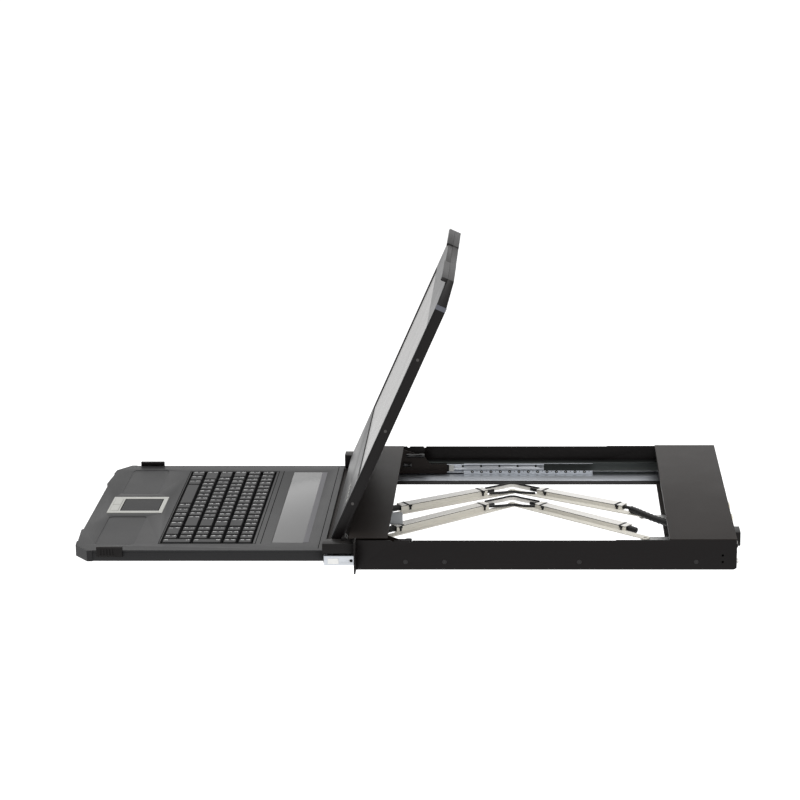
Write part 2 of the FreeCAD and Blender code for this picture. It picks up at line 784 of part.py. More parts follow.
# ---------------------------------------------------------------------- tray
def tray_outline(z, inset=0.0):
    """Plan of the tray: straight sides and rear, cut front corners, shallow front step."""
    half = HALF_TRAY - inset
    front = TRAY_FRONT + inset
    rear = TRAY_REAR - inset
    slant = inset * 0.4
    corner_y = TRAY_FRONT + CORNER_SETBACK + slant
    corner_x = HALF_TRAY - CORNER_WIDTH - slant
    step = FRONT_NOTCH_HALF_WIDTH
    right = [
        (half, rear, z),
        (half, corner_y, z),
        (corner_x, front + CORNER_BOW, z),
        (step + FRONT_NOTCH_DEPTH, front, z),
        (step, front + FRONT_NOTCH_DEPTH, z),
    ]
    left = [(-x, y, height) for x, y, height in reversed(right)]
    return right + left


def tray_base():
    """Lower shell of the tray, with ribs under the keyboard."""
    shell = prism(tray_outline(TRAY_BOTTOM), (0, 0, PLATE_BOTTOM - TRAY_BOTTOM))
    hollow = prism(tray_outline(TRAY_BOTTOM + TRAY_FLOOR, TRAY_WALL), (0, 0, PLATE_BOTTOM))
    shell = shell.cut(hollow)
    half = KEYBOARD_WIDTH / 2
    ribs = []
    for row in range(0, KEY_ROWS + 1, 2):
        y = KEYBOARD_FRONT + row * KEY_PITCH_Y
        rib = block((-half, half), (y - 0.8, y + 0.8), (TRAY_BOTTOM + TRAY_FLOOR, bed_top() - BED_THICKNESS))
        ribs.append(rib)
    return fuse(shell, *ribs)


def tray_top():
    """Top plate with the openings for the keys, the touchpad, the window and the palms."""
    plate = prism(tray_outline(PLATE_BOTTOM), (0, 0, TRAY_TOP_PLATE))
    through = (PLATE_BOTTOM - 1, TRAY_TOP + 1)
    half_keys = KEYBOARD_WIDTH / 2 + KEYBOARD_MARGIN
    plate = plate.cut(
        block(
            (-half_keys, half_keys),
            (KEYBOARD_FRONT - KEYBOARD_MARGIN, KEYBOARD_REAR + KEYBOARD_MARGIN),
            through,
        )
    )
    seat = TRAY_TOP + PAD_FRAME_PROUD - PAD_FRAME_THICKNESS
    pad_seat = block(pad_span(PAD_FRAME_WIDTH), (PAD_FRAME_FRONT, PAD_FRAME_REAR), (seat, TRAY_TOP + 1))
    plate = plate.cut(pad_seat)
    for x in pad_button_centres():
        half = pad_button_half_width() - 2.0
        plate = plate.cut(block((x - half, x + half), (PAD_BUTTON_FRONT + 2, PAD_BUTTON_REAR - 2), through))
    seat = TRAY_TOP - WINDOW_THICKNESS
    half_window = WINDOW_WIDTH / 2
    plate = plate.cut(block((-half_window, half_window), (WINDOW_FRONT, WINDOW_REAR), (seat, TRAY_TOP + 1)))
    inner = (PAD_OFFSET - PALM_RECESS_INNER, PAD_OFFSET + PALM_RECESS_INNER)
    outer = HALF_TRAY - PALM_RECESS_MARGIN
    for span in ((-outer, inner[0]), (inner[1], outer)):
        depth = (TRAY_TOP - PALM_RECESS_DEPTH, TRAY_TOP + 1)
        palm = block(span, (PALM_RECESS_FRONT, PALM_RECESS_REAR), depth)
        plate = plate.cut(rounded(palm, 6.0, upright))
    return plate


def keyboard_bed():
    """Plate that carries the key plungers, hung under the opening of the top plate."""
    top = bed_top()
    half = KEYBOARD_WIDTH / 2 + KEYBOARD_MARGIN
    y = (KEYBOARD_FRONT - KEYBOARD_MARGIN, KEYBOARD_REAR + KEYBOARD_MARGIN)
    plate = block((-half, half), y, (top - BED_THICKNESS, top))
    rim = block((-half, half), y, (top, PLATE_BOTTOM))
    inside = block((-half + 0.5, half - 0.5), (y[0] + 0.5, y[1] - 0.5), (top, PLATE_BOTTOM))
    hole_width = STEM_WIDTH + 2 * STEM_CLEARANCE
    holes = [
        stem(centre, hole_width, top - BED_THICKNESS - 1, top + 1)
        for places in key_groups().values()
        for place in places
        for centre in stem_places(place)
    ]
    return fuse(plate.cut(Part.makeCompound(holes)), rim.cut(inside))


def corner_bumper():
    """Hard rubber corner over the cut front corner of the tray."""
    inner = prism(tray_outline(TRAY_BOTTOM), (0, 0, TRAY_TOP - TRAY_BOTTOM))
    outer = prism(tray_outline(TRAY_BOTTOM, -BUMPER_PROUD), (0, 0, TRAY_TOP - TRAY_BOTTOM))
    zone = block(
        (HALF_TRAY - BUMPER_WIDTH, HALF_TRAY + 5),
        (TRAY_FRONT - 5, CATCH_FRONT - CATCH_TRAVEL - 1.0),
        (TRAY_BOTTOM, TRAY_TOP),
    )
    return outer.cut(inner).common(zone)


def side_catch():
    """Catch outside the tray's side, hooked over its top edge, pulled to the front."""
    inner = HALF_TRAY + RUNNING_GAP
    outer = inner + CATCH_THICKNESS
    y = CATCH_FRONT
    top = TRAY_TOP + CATCH_PROUD
    hook_x = HALF_TRAY - CATCH_HOOK
    outline = [
        (inner, y, TRAY_TOP - CATCH_DROP),
        (outer, y, TRAY_TOP - CATCH_DROP + 2.0),
        (outer, y, top - 1.5),
        (outer - 1.5, y, top),
        (hook_x, y, top),
        (hook_x, y, TRAY_TOP + RUNNING_GAP),
        (inner, y, TRAY_TOP + RUNNING_GAP),
    ]
    body = prism(outline, (0, CATCH_REAR - CATCH_FRONT, 0))
    grooves = [
        rod(0.7, (outer, CATCH_FRONT + 6.0 + index * 4.0, TRAY_TOP - CATCH_DROP + 4.0), (0, 0, 1), 8.0)
        for index in range(5)
    ]
    for groove in grooves:
        body = body.cut(groove)
    return body


# ------------------------------------------------------------------ keyboard
def cap(place):
    """A key cap: a wide foot, a smaller top joined by sloping sides, and its stems."""
    x, y, width, depth = place
    x0, x1 = x + KEY_GAP / 2, x + width - KEY_GAP / 2
    y0, y1 = y + KEY_GAP / 2, y + depth - KEY_GAP / 2
    t = KEY_TAPER
    # makeWedge narrows along its own Y, so the cap is drawn lying down and turned up.
    body = Part.makeWedge(
        x0, KEY_BOTTOM, -y1, -y1 + t, x0 + t,
        x1, KEY_TOP, -y0, -y0 - t, x1 - t,
    )
    body.rotate(Vector(0, 0, 0), Vector(1, 0, 0), 90)
    stems = [stem(centre, STEM_WIDTH, bed_top() - STEM_INSERT, KEY_BOTTOM) for centre in stem_places(place)]
    return fuse(body, *stems)


def stem_places(place):
    """One stem in the middle of a cap, or two under a long one."""
    x, y, width, depth = place
    centre = (x + width / 2, y + depth / 2)
    if width < STEM_BAR_UNITS * KEY_PITCH_X:
        return [centre]
    return [(centre[0] + side * STEM_BAR_SPREAD / 2, centre[1]) for side in (-1, 1)]


def stem(centre, width, low, top):
    x, y = centre
    return block((x - width / 2, x + width / 2), (y - width / 2, y + width / 2), (low, top))


def bed_top():
    return KEY_BOTTOM - KEY_TRAVEL - RUNNING_GAP


def row_places(row, widths, start=0.0):
    """Places of caps of the given widths, in key units, rows counted from the user."""
    x = -KEYBOARD_WIDTH / 2 + start
    y = KEYBOARD_FRONT + row * KEY_PITCH_Y
    places = []
    for width in widths:
        places.append((x, y, width * KEY_PITCH_X, KEY_PITCH_Y))
        x += width * KEY_PITCH_X
    return places


def letter_places():
    upper = row_places(3, [1.5] + [1] * (MAIN_UNITS - 3) + [1.5])
    home = row_places(2, [1.75] + [1] * (MAIN_UNITS - 4) + [2.25])
    lower = row_places(1, [2.25] + [1] * (MAIN_UNITS - 5) + [2.75])
    left = row_places(0, [1.25, 1.25, 1.25])
    right = row_places(0, [1.25, 1.25, 1.0, 1.25, 1.25], 9 * KEY_PITCH_X)
    return upper + home + lower + left + right


def numpad_places():
    """Four columns; the last one ends in a tall add key and a tall enter key."""
    start = MAIN_UNITS * KEY_PITCH_X + PAD_GAP
    x_last = -KEYBOARD_WIDTH / 2 + start + (PAD_UNITS - 1) * KEY_PITCH_X
    places = []
    for row in (4, 5):
        places += row_places(row, [1] * PAD_UNITS, start)
    for row in (1, 2, 3):
        places += row_places(row, [1] * (PAD_UNITS - 1), start)
    places += row_places(0, [2, 1], start)
    for row in (0, 2):
        places.append((x_last, KEYBOARD_FRONT + row * KEY_PITCH_Y, KEY_PITCH_X, 2 * KEY_PITCH_Y))
    return places


def key_groups():
    """The five groups of keys that press together, with the places of their caps."""
    return {
        "function_keys": row_places(5, [1] * MAIN_UNITS),
        "number_keys": row_places(4, [1] * (MAIN_UNITS - 2) + [2]),
        "letter_keys": letter_places(),
        "space_bar": row_places(0, [5.25], 3.75 * KEY_PITCH_X),
        "numpad_keys": numpad_places(),
    }


# ------------------------------------------------------- touchpad and window
def touchpad_frame():
    top = TRAY_TOP + PAD_FRAME_PROUD
    low = top - PAD_FRAME_THICKNESS
    frame = block(pad_span(PAD_FRAME_WIDTH), (PAD_FRAME_FRONT, PAD_FRAME_REAR), (low, top))
    frame = frame.cut(block(pad_span(PAD_WIDTH), (PAD_FRONT, PAD_REAR), (low - 1, top + 1)))
    for x in pad_button_centres():
        span = centred(x, 2 * pad_button_half_width())
        frame = frame.cut(block(span, (PAD_BUTTON_FRONT, PAD_BUTTON_REAR), (low - 1, top + 1)))
    return frame


def pad_span(width):
    return (PAD_OFFSET - width / 2, PAD_OFFSET + width / 2)


def pad_button_half_width():
    return (PAD_WIDTH - PAD_BUTTON_GAP) / 4


def pad_button_centres():
    offset = PAD_BUTTON_GAP / 2 + pad_button_half_width()
    return (PAD_OFFSET - offset, PAD_OFFSET + offset)


def touchpad():
    low = TRAY_TOP + PAD_FRAME_PROUD - PAD_FRAME_THICKNESS
    return block(pad_span(PAD_WIDTH), (PAD_FRONT, PAD_REAR), (low, low + PAD_THICKNESS))


def touchpad_button(x):
    """One button with a stem down through the top plate."""
    low = TRAY_TOP + PAD_FRAME_PROUD - PAD_FRAME_THICKNESS + PAD_BUTTON_TRAVEL + RUNNING_GAP
    top = TRAY_TOP + PAD_FRAME_PROUD + PAD_BUTTON_PROUD
    half = pad_button_half_width() - RUNNING_GAP
    y = (PAD_BUTTON_FRONT + RUNNING_GAP, PAD_BUTTON_REAR - RUNNING_GAP)
    head = block((x - half, x + half), y, (low, top))
    stem_half = half - 2.0
    stem = block((x - stem_half, x + stem_half), (y[0] + 2.0, y[1] - 2.0), (PLATE_BOTTOM - 1.0, low))
    return fuse(head, stem)


def window_panel():
    gap = SOCKET_GAP
    depth = (TRAY_TOP - WINDOW_THICKNESS, TRAY_TOP)
    return block(centred(0, WINDOW_WIDTH - 2 * gap), (WINDOW_FRONT + gap, WINDOW_REAR - gap), depth)


# ---------------------------------------------------------- deck and hinge
def base_rib_places():
    pitch = TRAY_WIDTH / (BASE_RIB_COUNT + 1)
    return [-HALF_TRAY + (index + 1) * pitch for index in range(BASE_RIB_COUNT)]


def hinge_base():
    """Low folded plate between the tray and the display's hinge line, with stiffening ribs."""
    outline = [
        (-HALF_TRAY, TRAY_REAR, BASE_TOP),
        (-HALF_TRAY, BASE_REAR, BASE_TOP),
        (-HALF_TRAY, BASE_REAR, TRAY_BOTTOM),
        (-HALF_TRAY, BASE_REAR - BASE_STEEL, TRAY_BOTTOM),
        (-HALF_TRAY, BASE_REAR - BASE_STEEL, BASE_TOP - BASE_STEEL),
        (-HALF_TRAY, TRAY_REAR, BASE_TOP - BASE_STEEL),
    ]
    plate = prism(outline, (TRAY_WIDTH, 0, 0))
    ribs = [
        block(
            (x - BASE_STEEL / 2, x + BASE_STEEL / 2),
            (TRAY_REAR, BASE_REAR - BASE_STEEL),
            (TRAY_BOTTOM, BASE_TOP - BASE_STEEL),
        )
        for x in base_rib_places()
    ]
    return fuse(plate, *ribs)


def rear_deck():
    """Plate behind the display, with a side arm down to each slide."""
    top = (SIDE_HEIGHT, SIDE_HEIGHT + SHEET)
    plate = block((-HALF_DECK, HALF_DECK), (DECK_FRONT, DECK_REAR), top)
    x = BLOCK_OUTER - SHEET
    low = TRAY_BOTTOM + 1.0
    arm = prism(
        [
            (x, BASE_REAR, low),
            (x, DECK_ARM_REAR, low),
            (x, DECK_ARM_REAR, low + DECK_ARM_HEIGHT),
            (x, DECK_SHOULDER_REAR + 8.0, low + DECK_ARM_HEIGHT),
            (x, DECK_SHOULDER_REAR, DECK_SHOULDER_HEIGHT),
            (x, DECK_REAR, SIDE_HEIGHT),
            (x, BASE_REAR, SIDE_HEIGHT),
        ],
        (SHEET, 0, 0),
    )
    return fuse(plate, *both(arm))


def hinge_block():
    """Block beside the tray: it carries the display's pin and reaches over the slide."""
    x0 = HALF_TRAY
    y = (HINGE_BLOCK_FRONT, BASE_REAR)
    inner = block((x0, BLOCK_OUTER), y, (TRAY_BOTTOM, HINGE_BLOCK_TOP))
    over = block(
        (BLOCK_OUTER, BLOCK_OUTER + HINGE_BLOCK_OVERHANG), y, (SLIDE_TOP + 2 * RUNNING_GAP, HINGE_BLOCK_TOP)
    )
    boss_x = x0 - 0.4
    boss_width = BLOCK_OUTER - boss_x
    neck = block(
        (x0, BLOCK_OUTER),
        (HINGE_Y - LUG_RADIUS, HINGE_Y + LUG_RADIUS),
        (HINGE_BLOCK_TOP, HINGE_Z),
    )
    boss = rod(LUG_RADIUS, (boss_x, HINGE_Y, HINGE_Z), (1, 0, 0), boss_width)
    body = fuse(inner, over, neck, boss)
    bore = rod(PIN_RADIUS + PIN_CLEARANCE, (boss_x - 1, HINGE_Y, HINGE_Z), (1, 0, 0), boss_width - 1)
    return body.cut(bore)


def hinge_pin():
    start = HALF_LCD - LUG_WIDTH
    end = BLOCK_OUTER - 2.0
    return rod(PIN_RADIUS, (start, HINGE_Y, HINGE_Z), (1, 0, 0), end - start)


# -------------------------------------------------------------------- display
# The display is drawn flat, with x across, y up the screen from the hinge line
# and z towards the viewer, its back at z = 0. stand_up() then leans it back.
def stand_up(shape):
    placed = shape.translated(Vector(0, 0, LCD_BACK))
    placed.rotate(Vector(0, 0, 0), Vector(1, 0, 0), 90 - LEAN_BACK)
    placed.translate(Vector(0, HINGE_Y, HINGE_Z))
    return placed


def lcd_outline(z, inset=0.0):
    """Plan of the display: cut upper corners and a shallow grip in the top edge."""
    half = HALF_LCD - inset
    top = LCD_TOP - inset
    low = -LCD_BELOW_HINGE + inset
    slant = inset * 0.4
    right = [
        (half, low, z),
        (half, LCD_CORNER - slant, z),
        (HALF_LCD - LCD_CHAMFER - slant, top, z),
        (GRIP_HALF_WIDTH + GRIP_DEPTH, top, z),
        (GRIP_HALF_WIDTH, top - GRIP_DEPTH, z),
    ]
    left = [(-x, y, height) for x, y, height in reversed(right)]
    return right + left


def lcd_lip(z, height):
    """The lip along the top edge, which hooks over the tray's front when folded down."""
    foot_x = HALF_LCD - LCD_CHAMFER * (LIP_FOOT - LCD_CORNER) / LCD_CORNER_DROP
    right = [
        (foot_x, LIP_FOOT, z),
        (HALF_LCD - LCD_CHAMFER, LCD_TOP, z),
        (GRIP_HALF_WIDTH + GRIP_DEPTH, LCD_TOP, z),
        (GRIP_HALF_WIDTH, LCD_TOP - GRIP_DEPTH, z),
    ]
    left = [(-x, y, level) for x, y, level in reversed(right)]
    return prism(right + left, (0, 0, height))


def lcd_lug_room():
    """Notch in the back cover for the root of a hinge lug."""
    half = LUG_RADIUS + SCREW_GAP
    return block((HALF_LCD - LUG_WIDTH - SCREW_GAP, HALF_LCD + 1), (-half, half), (-1, LCD_SHELL + 1))


def lcd_back_cover():
    plate = prism(lcd_outline(0), (0, 0, LCD_SHELL))
    for room in both(lcd_lug_room()):
        plate = plate.cut(room)
    return plate


def lcd_frame():
    """Walls round the display, with a hinge lug at each lower corner."""
    height = LCD_THICKNESS - BEZEL_THICKNESS - LCD_SHELL
    ring_outer = prism(lcd_outline(LCD_SHELL), (0, 0, height))
    ring_inner = prism(lcd_outline(LCD_SHELL, LCD_WALL), (0, 0, height))
    body = ring_outer.cut(ring_inner)
    for side in (1, -1):
        start = HALF_LCD - LUG_WIDTH
        lug = rod(LUG_RADIUS, (start, 0, -LCD_BACK), (1, 0, 0), LUG_WIDTH)
        root = block((start, HALF_LCD), (-LUG_RADIUS, LUG_RADIUS), (-LCD_BACK, LCD_SHELL + 3.0))
        knuckle = fuse(lug, root)
        hole = rod(PIN_RADIUS + PIN_CLEARANCE, (start - 1, 0, -LCD_BACK), (1, 0, 0), LUG_WIDTH + 2)
        if side < 0:
            knuckle, hole = mirrored(knuckle), mirrored(hole)
        body = fuse(body, knuckle).cut(hole)
    return body


def lcd_bezel():
    """Light front plate with the screen's window and the button holes."""
    z = LCD_THICKNESS - BEZEL_THICKNESS
    plate = prism(lcd_outline(z, BEZEL_INSET), (0, 0, BEZEL_THICKNESS))
    half = SCREEN_WIDTH / 2
    window = block((-half, half), (SCREEN_BOTTOM, SCREEN_BOTTOM + SCREEN_HEIGHT), (z - 1, LCD_THICKNESS + 1))
    plate = plate.cut(window).cut(lcd_lip(z - 1, BEZEL_THICKNESS + 2))
    for x in osd_places():
        plate = plate.cut(osd_hole(x, z))
    return plate


def osd_places():
    first = HALF_LCD - 28.0 - (OSD_COUNT - 1) * OSD_PITCH
    return [first + index * OSD_PITCH for index in range(OSD_COUNT)]


def osd_hole(x, z):
    length = OSD_LENGTH + 2 * RUNNING_GAP
    width = OSD_WIDTH + 2 * RUNNING_GAP
    return block(centred(x, length), centred(OSD_HEIGHT, width), (z - 1, LCD_THICKNESS + 1))


def osd_buttons():
    """Row of menu buttons under the screen, joined by a rail behind the bezel."""
    z = LCD_THICKNESS - BEZEL_THICKNESS
    places = osd_places()
    heads = [
        block(
            (x - OSD_LENGTH / 2, x + OSD_LENGTH / 2),
            (OSD_HEIGHT - OSD_WIDTH / 2, OSD_HEIGHT + OSD_WIDTH / 2),
            (z - 1.5, LCD_THICKNESS + OSD_PROUD),
        )
        for x in places
    ]
    rail = block(
        (places[0] - OSD_LENGTH / 2, places[-1] + OSD_LENGTH / 2),
        (OSD_HEIGHT - OSD_WIDTH / 2 - 1.0, OSD_HEIGHT + OSD_WIDTH / 2 + 1.0),
        (z - 1.5, z - RUNNING_GAP),
    )
    return fuse(rail, *heads)


def lcd_panel():
    """The display panel itself, behind the bezel's window."""
    half = SCREEN_WIDTH / 2 + PANEL_BORDER
    z1 = LCD_THICKNESS - BEZEL_THICKNESS
    return block(
        (-half, half),
        (SCREEN_BOTTOM - PANEL_BORDER, SCREEN_BOTTOM + SCREEN_HEIGHT + PANEL_BORDER),
        (z1 - PANEL_THICKNESS, z1),
    )


def lcd_board():
    """Panel driver board, on the back cover below the panel, with its parts."""
    x0 = -DRIVER_BOARD_WIDTH / 2
    y0 = DRIVER_BOARD_FOOT
    y1 = y0 + DRIVER_BOARD_DEPTH
    board = block((x0, -x0), (y0, y1), (LCD_SHELL, LCD_SHELL + BOARD_THICKNESS))
    middle = (y0 + y1) / 2
    parts = [
        block(
            centred(step * DRIVER_PART_PITCH, DRIVER_PART_SIZE),
            centred(middle, DRIVER_PART_SIZE),
            (LCD_SHELL, LCD_SHELL + DRIVER_PART_HEIGHT),
        )
        for step in (-1, 0, 1)
    ]
    return fuse(board, *parts)


def lcd_screws():
    """Flat screw heads along both sides of the display's frame."""
    heads = []
    for share in (0.14, 0.46, 0.77):
        y = share * LCD_CORNER
        heads += both(rod(2.0, (HALF_LCD, y, LCD_THICKNESS / 2), (1, 0, 0), 0.5))
    return heads


# ----------------------------------------------------------------- cable arms
def arm_points(x, reach):
    """Front pivot, middle pivot and rear pivot of an arm, in plan."""
    middle_y = (ARM_FRONT_Y + ARM_REAR_Y) / 2
    return (x, ARM_FRONT_Y), (x - reach, middle_y), (x, ARM_REAR_Y)


def along(shape, start, end):
    """Turn a link drawn along +Y from the origin so that it runs from start to end."""
    dx, dy = end[0] - start[0], end[1] - start[1]
    placed = shape.copy()
    placed.rotate(Vector(0, 0, 0), Vector(0, 0, 1), math.degrees(math.atan2(dy, dx)) - 90)
    placed.translate(Vector(start[0], start[1], 0))
    return placed


def link(length, level, duct_top, hole_at_end, pin_at_end):
    """Flat bar with a cable duct beside it; the duct lies on the outside of the fold."""
    half = BAR_WIDTH / 2
    bar = fuse(
        block((-half, half), (0, length), (level, level + BAR_STEEL)),
        rod(half, (0, 0, level), (0, 0, 1), BAR_STEEL),
        rod(half, (0, length, level), (0, 0, 1), BAR_STEEL),
    )
    x1 = -DUCT_SIDE
    x0 = x1 - DUCT_WIDTH
    y = (DUCT_START, length - DUCT_START)
    duct = block((x0, x1), y, (level, duct_top))
    hollow = block((x0 + DUCT_WALL, x1 - DUCT_WALL), (y[0] - 1, y[1] + 1), (level + BAR_STEEL, duct_top + 1))
    body = fuse(bar, duct).cut(hollow)
    hole = RIVET_RADIUS + PIN_CLEARANCE
    body = body.cut(rod(hole, (0, 0, level - 1), (0, 0, 1), BAR_STEEL + 2))
    if hole_at_end:
        body = body.cut(rod(hole, (0, length, level - 1), (0, 0, 1), BAR_STEEL + 2))
    if pin_at_end:
        shank = rod(RIVET_RADIUS, (0, length, level), (0, 0, 1), 2 * BAR_STEEL + 2 * RUNNING_GAP)
        head_z = level + 2 * BAR_STEEL + 2 * RUNNING_GAP
        head = rod(RIVET_HEAD_RADIUS, (0, length, head_z), (0, 0, 1), RIVET_HEAD)
        body = fuse(body, shank, head)
    return body


def link_clips(length, level, duct_top):
    """Black straps round the duct near its two ends."""
    x1 = -DUCT_SIDE
    x0 = x1 - DUCT_WIDTH
    straps = []
    for y in (DUCT_START + 8.0, length - DUCT_START - 8.0 - CLIP_WIDTH):
        across = (x0 - CLIP_THICKNESS, x1 + CLIP_THICKNESS)
        top = block(across, (y, y + CLIP_WIDTH), (duct_top, duct_top + CLIP_THICKNESS))
        side = block((x0 - CLIP_THICKNESS, x0), (y, y + CLIP_WIDTH), (level, duct_top))
        straps.append(fuse(top, side))
    return straps


def link_cable(length, level):
    """Cable along the duct, running a little past it towards each pivot."""
    x = -DUCT_SIDE - DUCT_WIDTH / 2
    z = level + BAR_STEEL + CABLE_RADIUS
    start = DUCT_START - CABLE_STUB
    return rod(CABLE_RADIUS, (x, start, z), (0, 1, 0), length - 2 * start)


def arm(name, x, reach, level):
    """Both links of an arm with their straps and cables, written out by name."""
    front, middle, rear = arm_points(x, reach)
    length = math.dist(front, middle)
    duct_top = level + BAR_STEEL + DUCT_HEIGHT
    upper = level + BAR_STEEL + RUNNING_GAP

    def on_front(shape):
        return along(shape, front, middle)

    def on_rear(shape):
        return along(shape, middle, rear)

    save(name + "_front_link", on_front(link(length, level, duct_top, False, True)))
    save(name + "_rear_link", on_rear(link(length, upper, duct_top, True, False)))
    front_cable = [link_cable(length, level)] + link_clips(length, level, duct_top)
    rear_cable = [link_cable(length, upper)] + link_clips(length, upper, duct_top)
    save(name + "_front_cable", *[on_front(piece) for piece in front_cable])
    save(name + "_rear_cable", *[on_rear(piece) for piece in rear_cable])


def rear_cables():
    """Three cables side by side, from above the far arm's rear end to the main board."""
    level = SIDE_HEIGHT - COVER_LIP - REAR_CABLE_DROP
    board = BOARD_HEIGHT + BOARD_THICKNESS
    start = (FAR_ARM_X - REAR_CABLE_REACH, ARM_REAR_Y - REAR_CABLE_START)
    cables = []
    for index in range(REAR_CABLE_COUNT):
        shift = index * REAR_CABLE_PITCH
        end_x = NEAR_ARM_X - REAR_CABLE_END_INSET + shift
        end_y = REAR_FOOT_Y + REAR_CABLE_END_DEPTH
        points = [
            (start[0] + shift, start[1], level),
            (start[0] + shift + REAR_CABLE_RUN, start[1] + REAR_CABLE_RUN, level),
            (end_x, REAR_FOOT_Y - REAR_CABLE_RUN / 2, level),
            (end_x, end_y, level),
            (end_x, end_y, board),
        ]
        cables.append(tube(points, REAR_CABLE_BEND, REAR_CABLE_RADIUS))
    print("rear cable radius", REAR_CABLE_RADIUS, "bend radius", REAR_CABLE_BEND)
    return cables


def front_arm_bracket():
    """Two plates behind the tray, each with the pin of an arm's front pivot."""
    pieces = []
    base_middle = (TRAY_BOTTOM + BASE_TOP) / 2
    for x, level in ((FAR_ARM_X, FAR_ARM_LEVEL), (NEAR_ARM_X, NEAR_ARM_LEVEL)):
        top = level - RUNNING_GAP
        half = FINGER_WIDTH / 2
        plate = block((x - half, x + half), (BASE_REAR, ARM_FRONT_Y), (top - BAR_STEEL, top))
        flange_low = min(top - BAR_STEEL, base_middle - 3.0)
        flange_top = max(top, base_middle + 3.0)
        flange = block((x - half, x + half), (BASE_REAR, BASE_REAR + BAR_STEEL), (flange_low, flange_top))
        nose = rod(half, (x, ARM_FRONT_Y, top - BAR_STEEL), (0, 0, 1), BAR_STEEL)
        shank = rod(RIVET_RADIUS, (x, ARM_FRONT_Y, top), (0, 0, 1), BAR_STEEL + 2 * RUNNING_GAP)
        head_z = level + BAR_STEEL + RUNNING_GAP
        head = rod(RIVET_HEAD_RADIUS, (x, ARM_FRONT_Y, head_z), (0, 0, 1), RIVET_HEAD)
        pieces.append(fuse(plate, flange, nose, shank, head))
    return pieces


def rear_arm_bracket():
    """Two raised plates on the rear floor, each under the rear end of an arm."""
    pieces = []
    for x, level in ((FAR_ARM_X, FAR_ARM_LEVEL), (NEAR_ARM_X, NEAR_ARM_LEVEL)):
        top = level + BAR_STEEL
        half = FINGER_WIDTH / 2
        foot_end = REAR_FOOT_Y + REAR_FOOT_LENGTH
        plate = block((x - half, x + half), (ARM_REAR_Y, foot_end), (top - BAR_STEEL, top))
        nose = rod(half, (x, ARM_REAR_Y, top - BAR_STEEL), (0, 0, 1), BAR_STEEL)
        foot = block((x - half, x + half), (REAR_FOOT_Y, foot_end), (SHEET, top - BAR_STEEL))
        pieces.append(fuse(plate, nose, foot))
    return pieces


# ------------------------------------------------------------------ write out
def build_housing():
    plate, rail, front_ear = side_plate(), outer_rail(), ear()
    save("side_plate_right", plate)
    save("side_plate_left", mirrored(plate))
    save("rack_ears", *both(front_ear))
    save("outer_rail_right", rail)
    save("outer_rail_left", mirrored(rail))
    save("rear_cover", rear_cover())
    save("rear_panel", rear_panel())
    save("rear_floor", rear_floor())
    save("rear_arm_bracket", *rear_arm_bracket())
    save("main_board", main_board())
    save("rear_ports", *rear_ports())
    save("power_socket", power_socket())
    save("switch_frame", switch_frame())
    save("power_switch", power_switch())
    save("housing_screws", *housing_screws())


def build_slides():
    rail, cage = mid_rail(), ball_cage()
    save("mid_rail_right", rail)
    save("mid_rail_left", mirrored(rail))
    save("ball_cage_right", *cage)
    save("ball_cage_left", *[mirrored(strip) for strip in cage])
    save("inner_rails", *both(inner_rail()))
    save("rail_bumpers", *both(rail_bumper()))


def build_tray():
    save("tray_base", tray_base())
    save("tray_top", tray_top())
    save("keyboard_bed", keyboard_bed())
    save("corner_bumpers", *both(corner_bumper()))
    save("window_panel", window_panel())
    save("hinge_base", hinge_base())
    save("rear_deck", rear_deck())
    save("hinge_blocks", *both(hinge_block()))
    save("hinge_pins", *both(hinge_pin()))
    save("front_arm_bracket", *front_arm_bracket())
    save("side_catch_right", side_catch())
    save("side_catch_left", mirrored(side_catch()))


def build_controls():
    for name, places in key_groups().items():
        save(name, *[cap(place) for place in places])
    save("touchpad_frame", touchpad_frame())
    save("touchpad", touchpad())
    left, right = pad_button_centres()
    save("touchpad_button_left", touchpad_button(left))
    save("touchpad_button_right", touchpad_button(right))


def build_display():
    save("lcd_back_cover", stand_up(lcd_back_cover()))
    lip_seat = LCD_THICKNESS - BEZEL_THICKNESS
    lip = lcd_lip(lip_seat, BEZEL_THICKNESS + LIP_HOOK)
    save("lcd_frame", stand_up(lcd_frame()), stand_up(lip))
    save("lcd_bezel", stand_up(lcd_bezel()))
    save("lcd_panel", stand_up(lcd_panel()))
    save("lcd_board", stand_up(lcd_board()))
    save("lcd_screws", *[stand_up(head) for head in lcd_screws()])
    save("osd_buttons", stand_up(osd_buttons()))


def build_arms():
    arm("far_arm", FAR_ARM_X, FAR_ARM_REACH, FAR_ARM_LEVEL)
    arm("near_arm", NEAR_ARM_X, NEAR_ARM_REACH, NEAR_ARM_LEVEL)
    save("rear_cables", *rear_cables())


os.makedirs("parts", exist_ok=True)
build_housing()
build_slides()
build_tray()
build_controls()
build_display()
build_arms()
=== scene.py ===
# %% [markdown]
# A rack-mount console drawer: a screen, a keyboard and a touchpad on a tray that
# slides out of a shallow steel housing. The CAD part gives every size and joint,
# and this lesson gives it its looks. Each CAD piece is either kept and painted, or
# stood for by a copy with softened edges, because real folded steel and moulded
# plastic never end in a perfectly sharp corner, and it is that small round that
# catches the light.

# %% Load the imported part
import json
import math

import bmesh
import bpy
from mathutils import Matrix, Vector


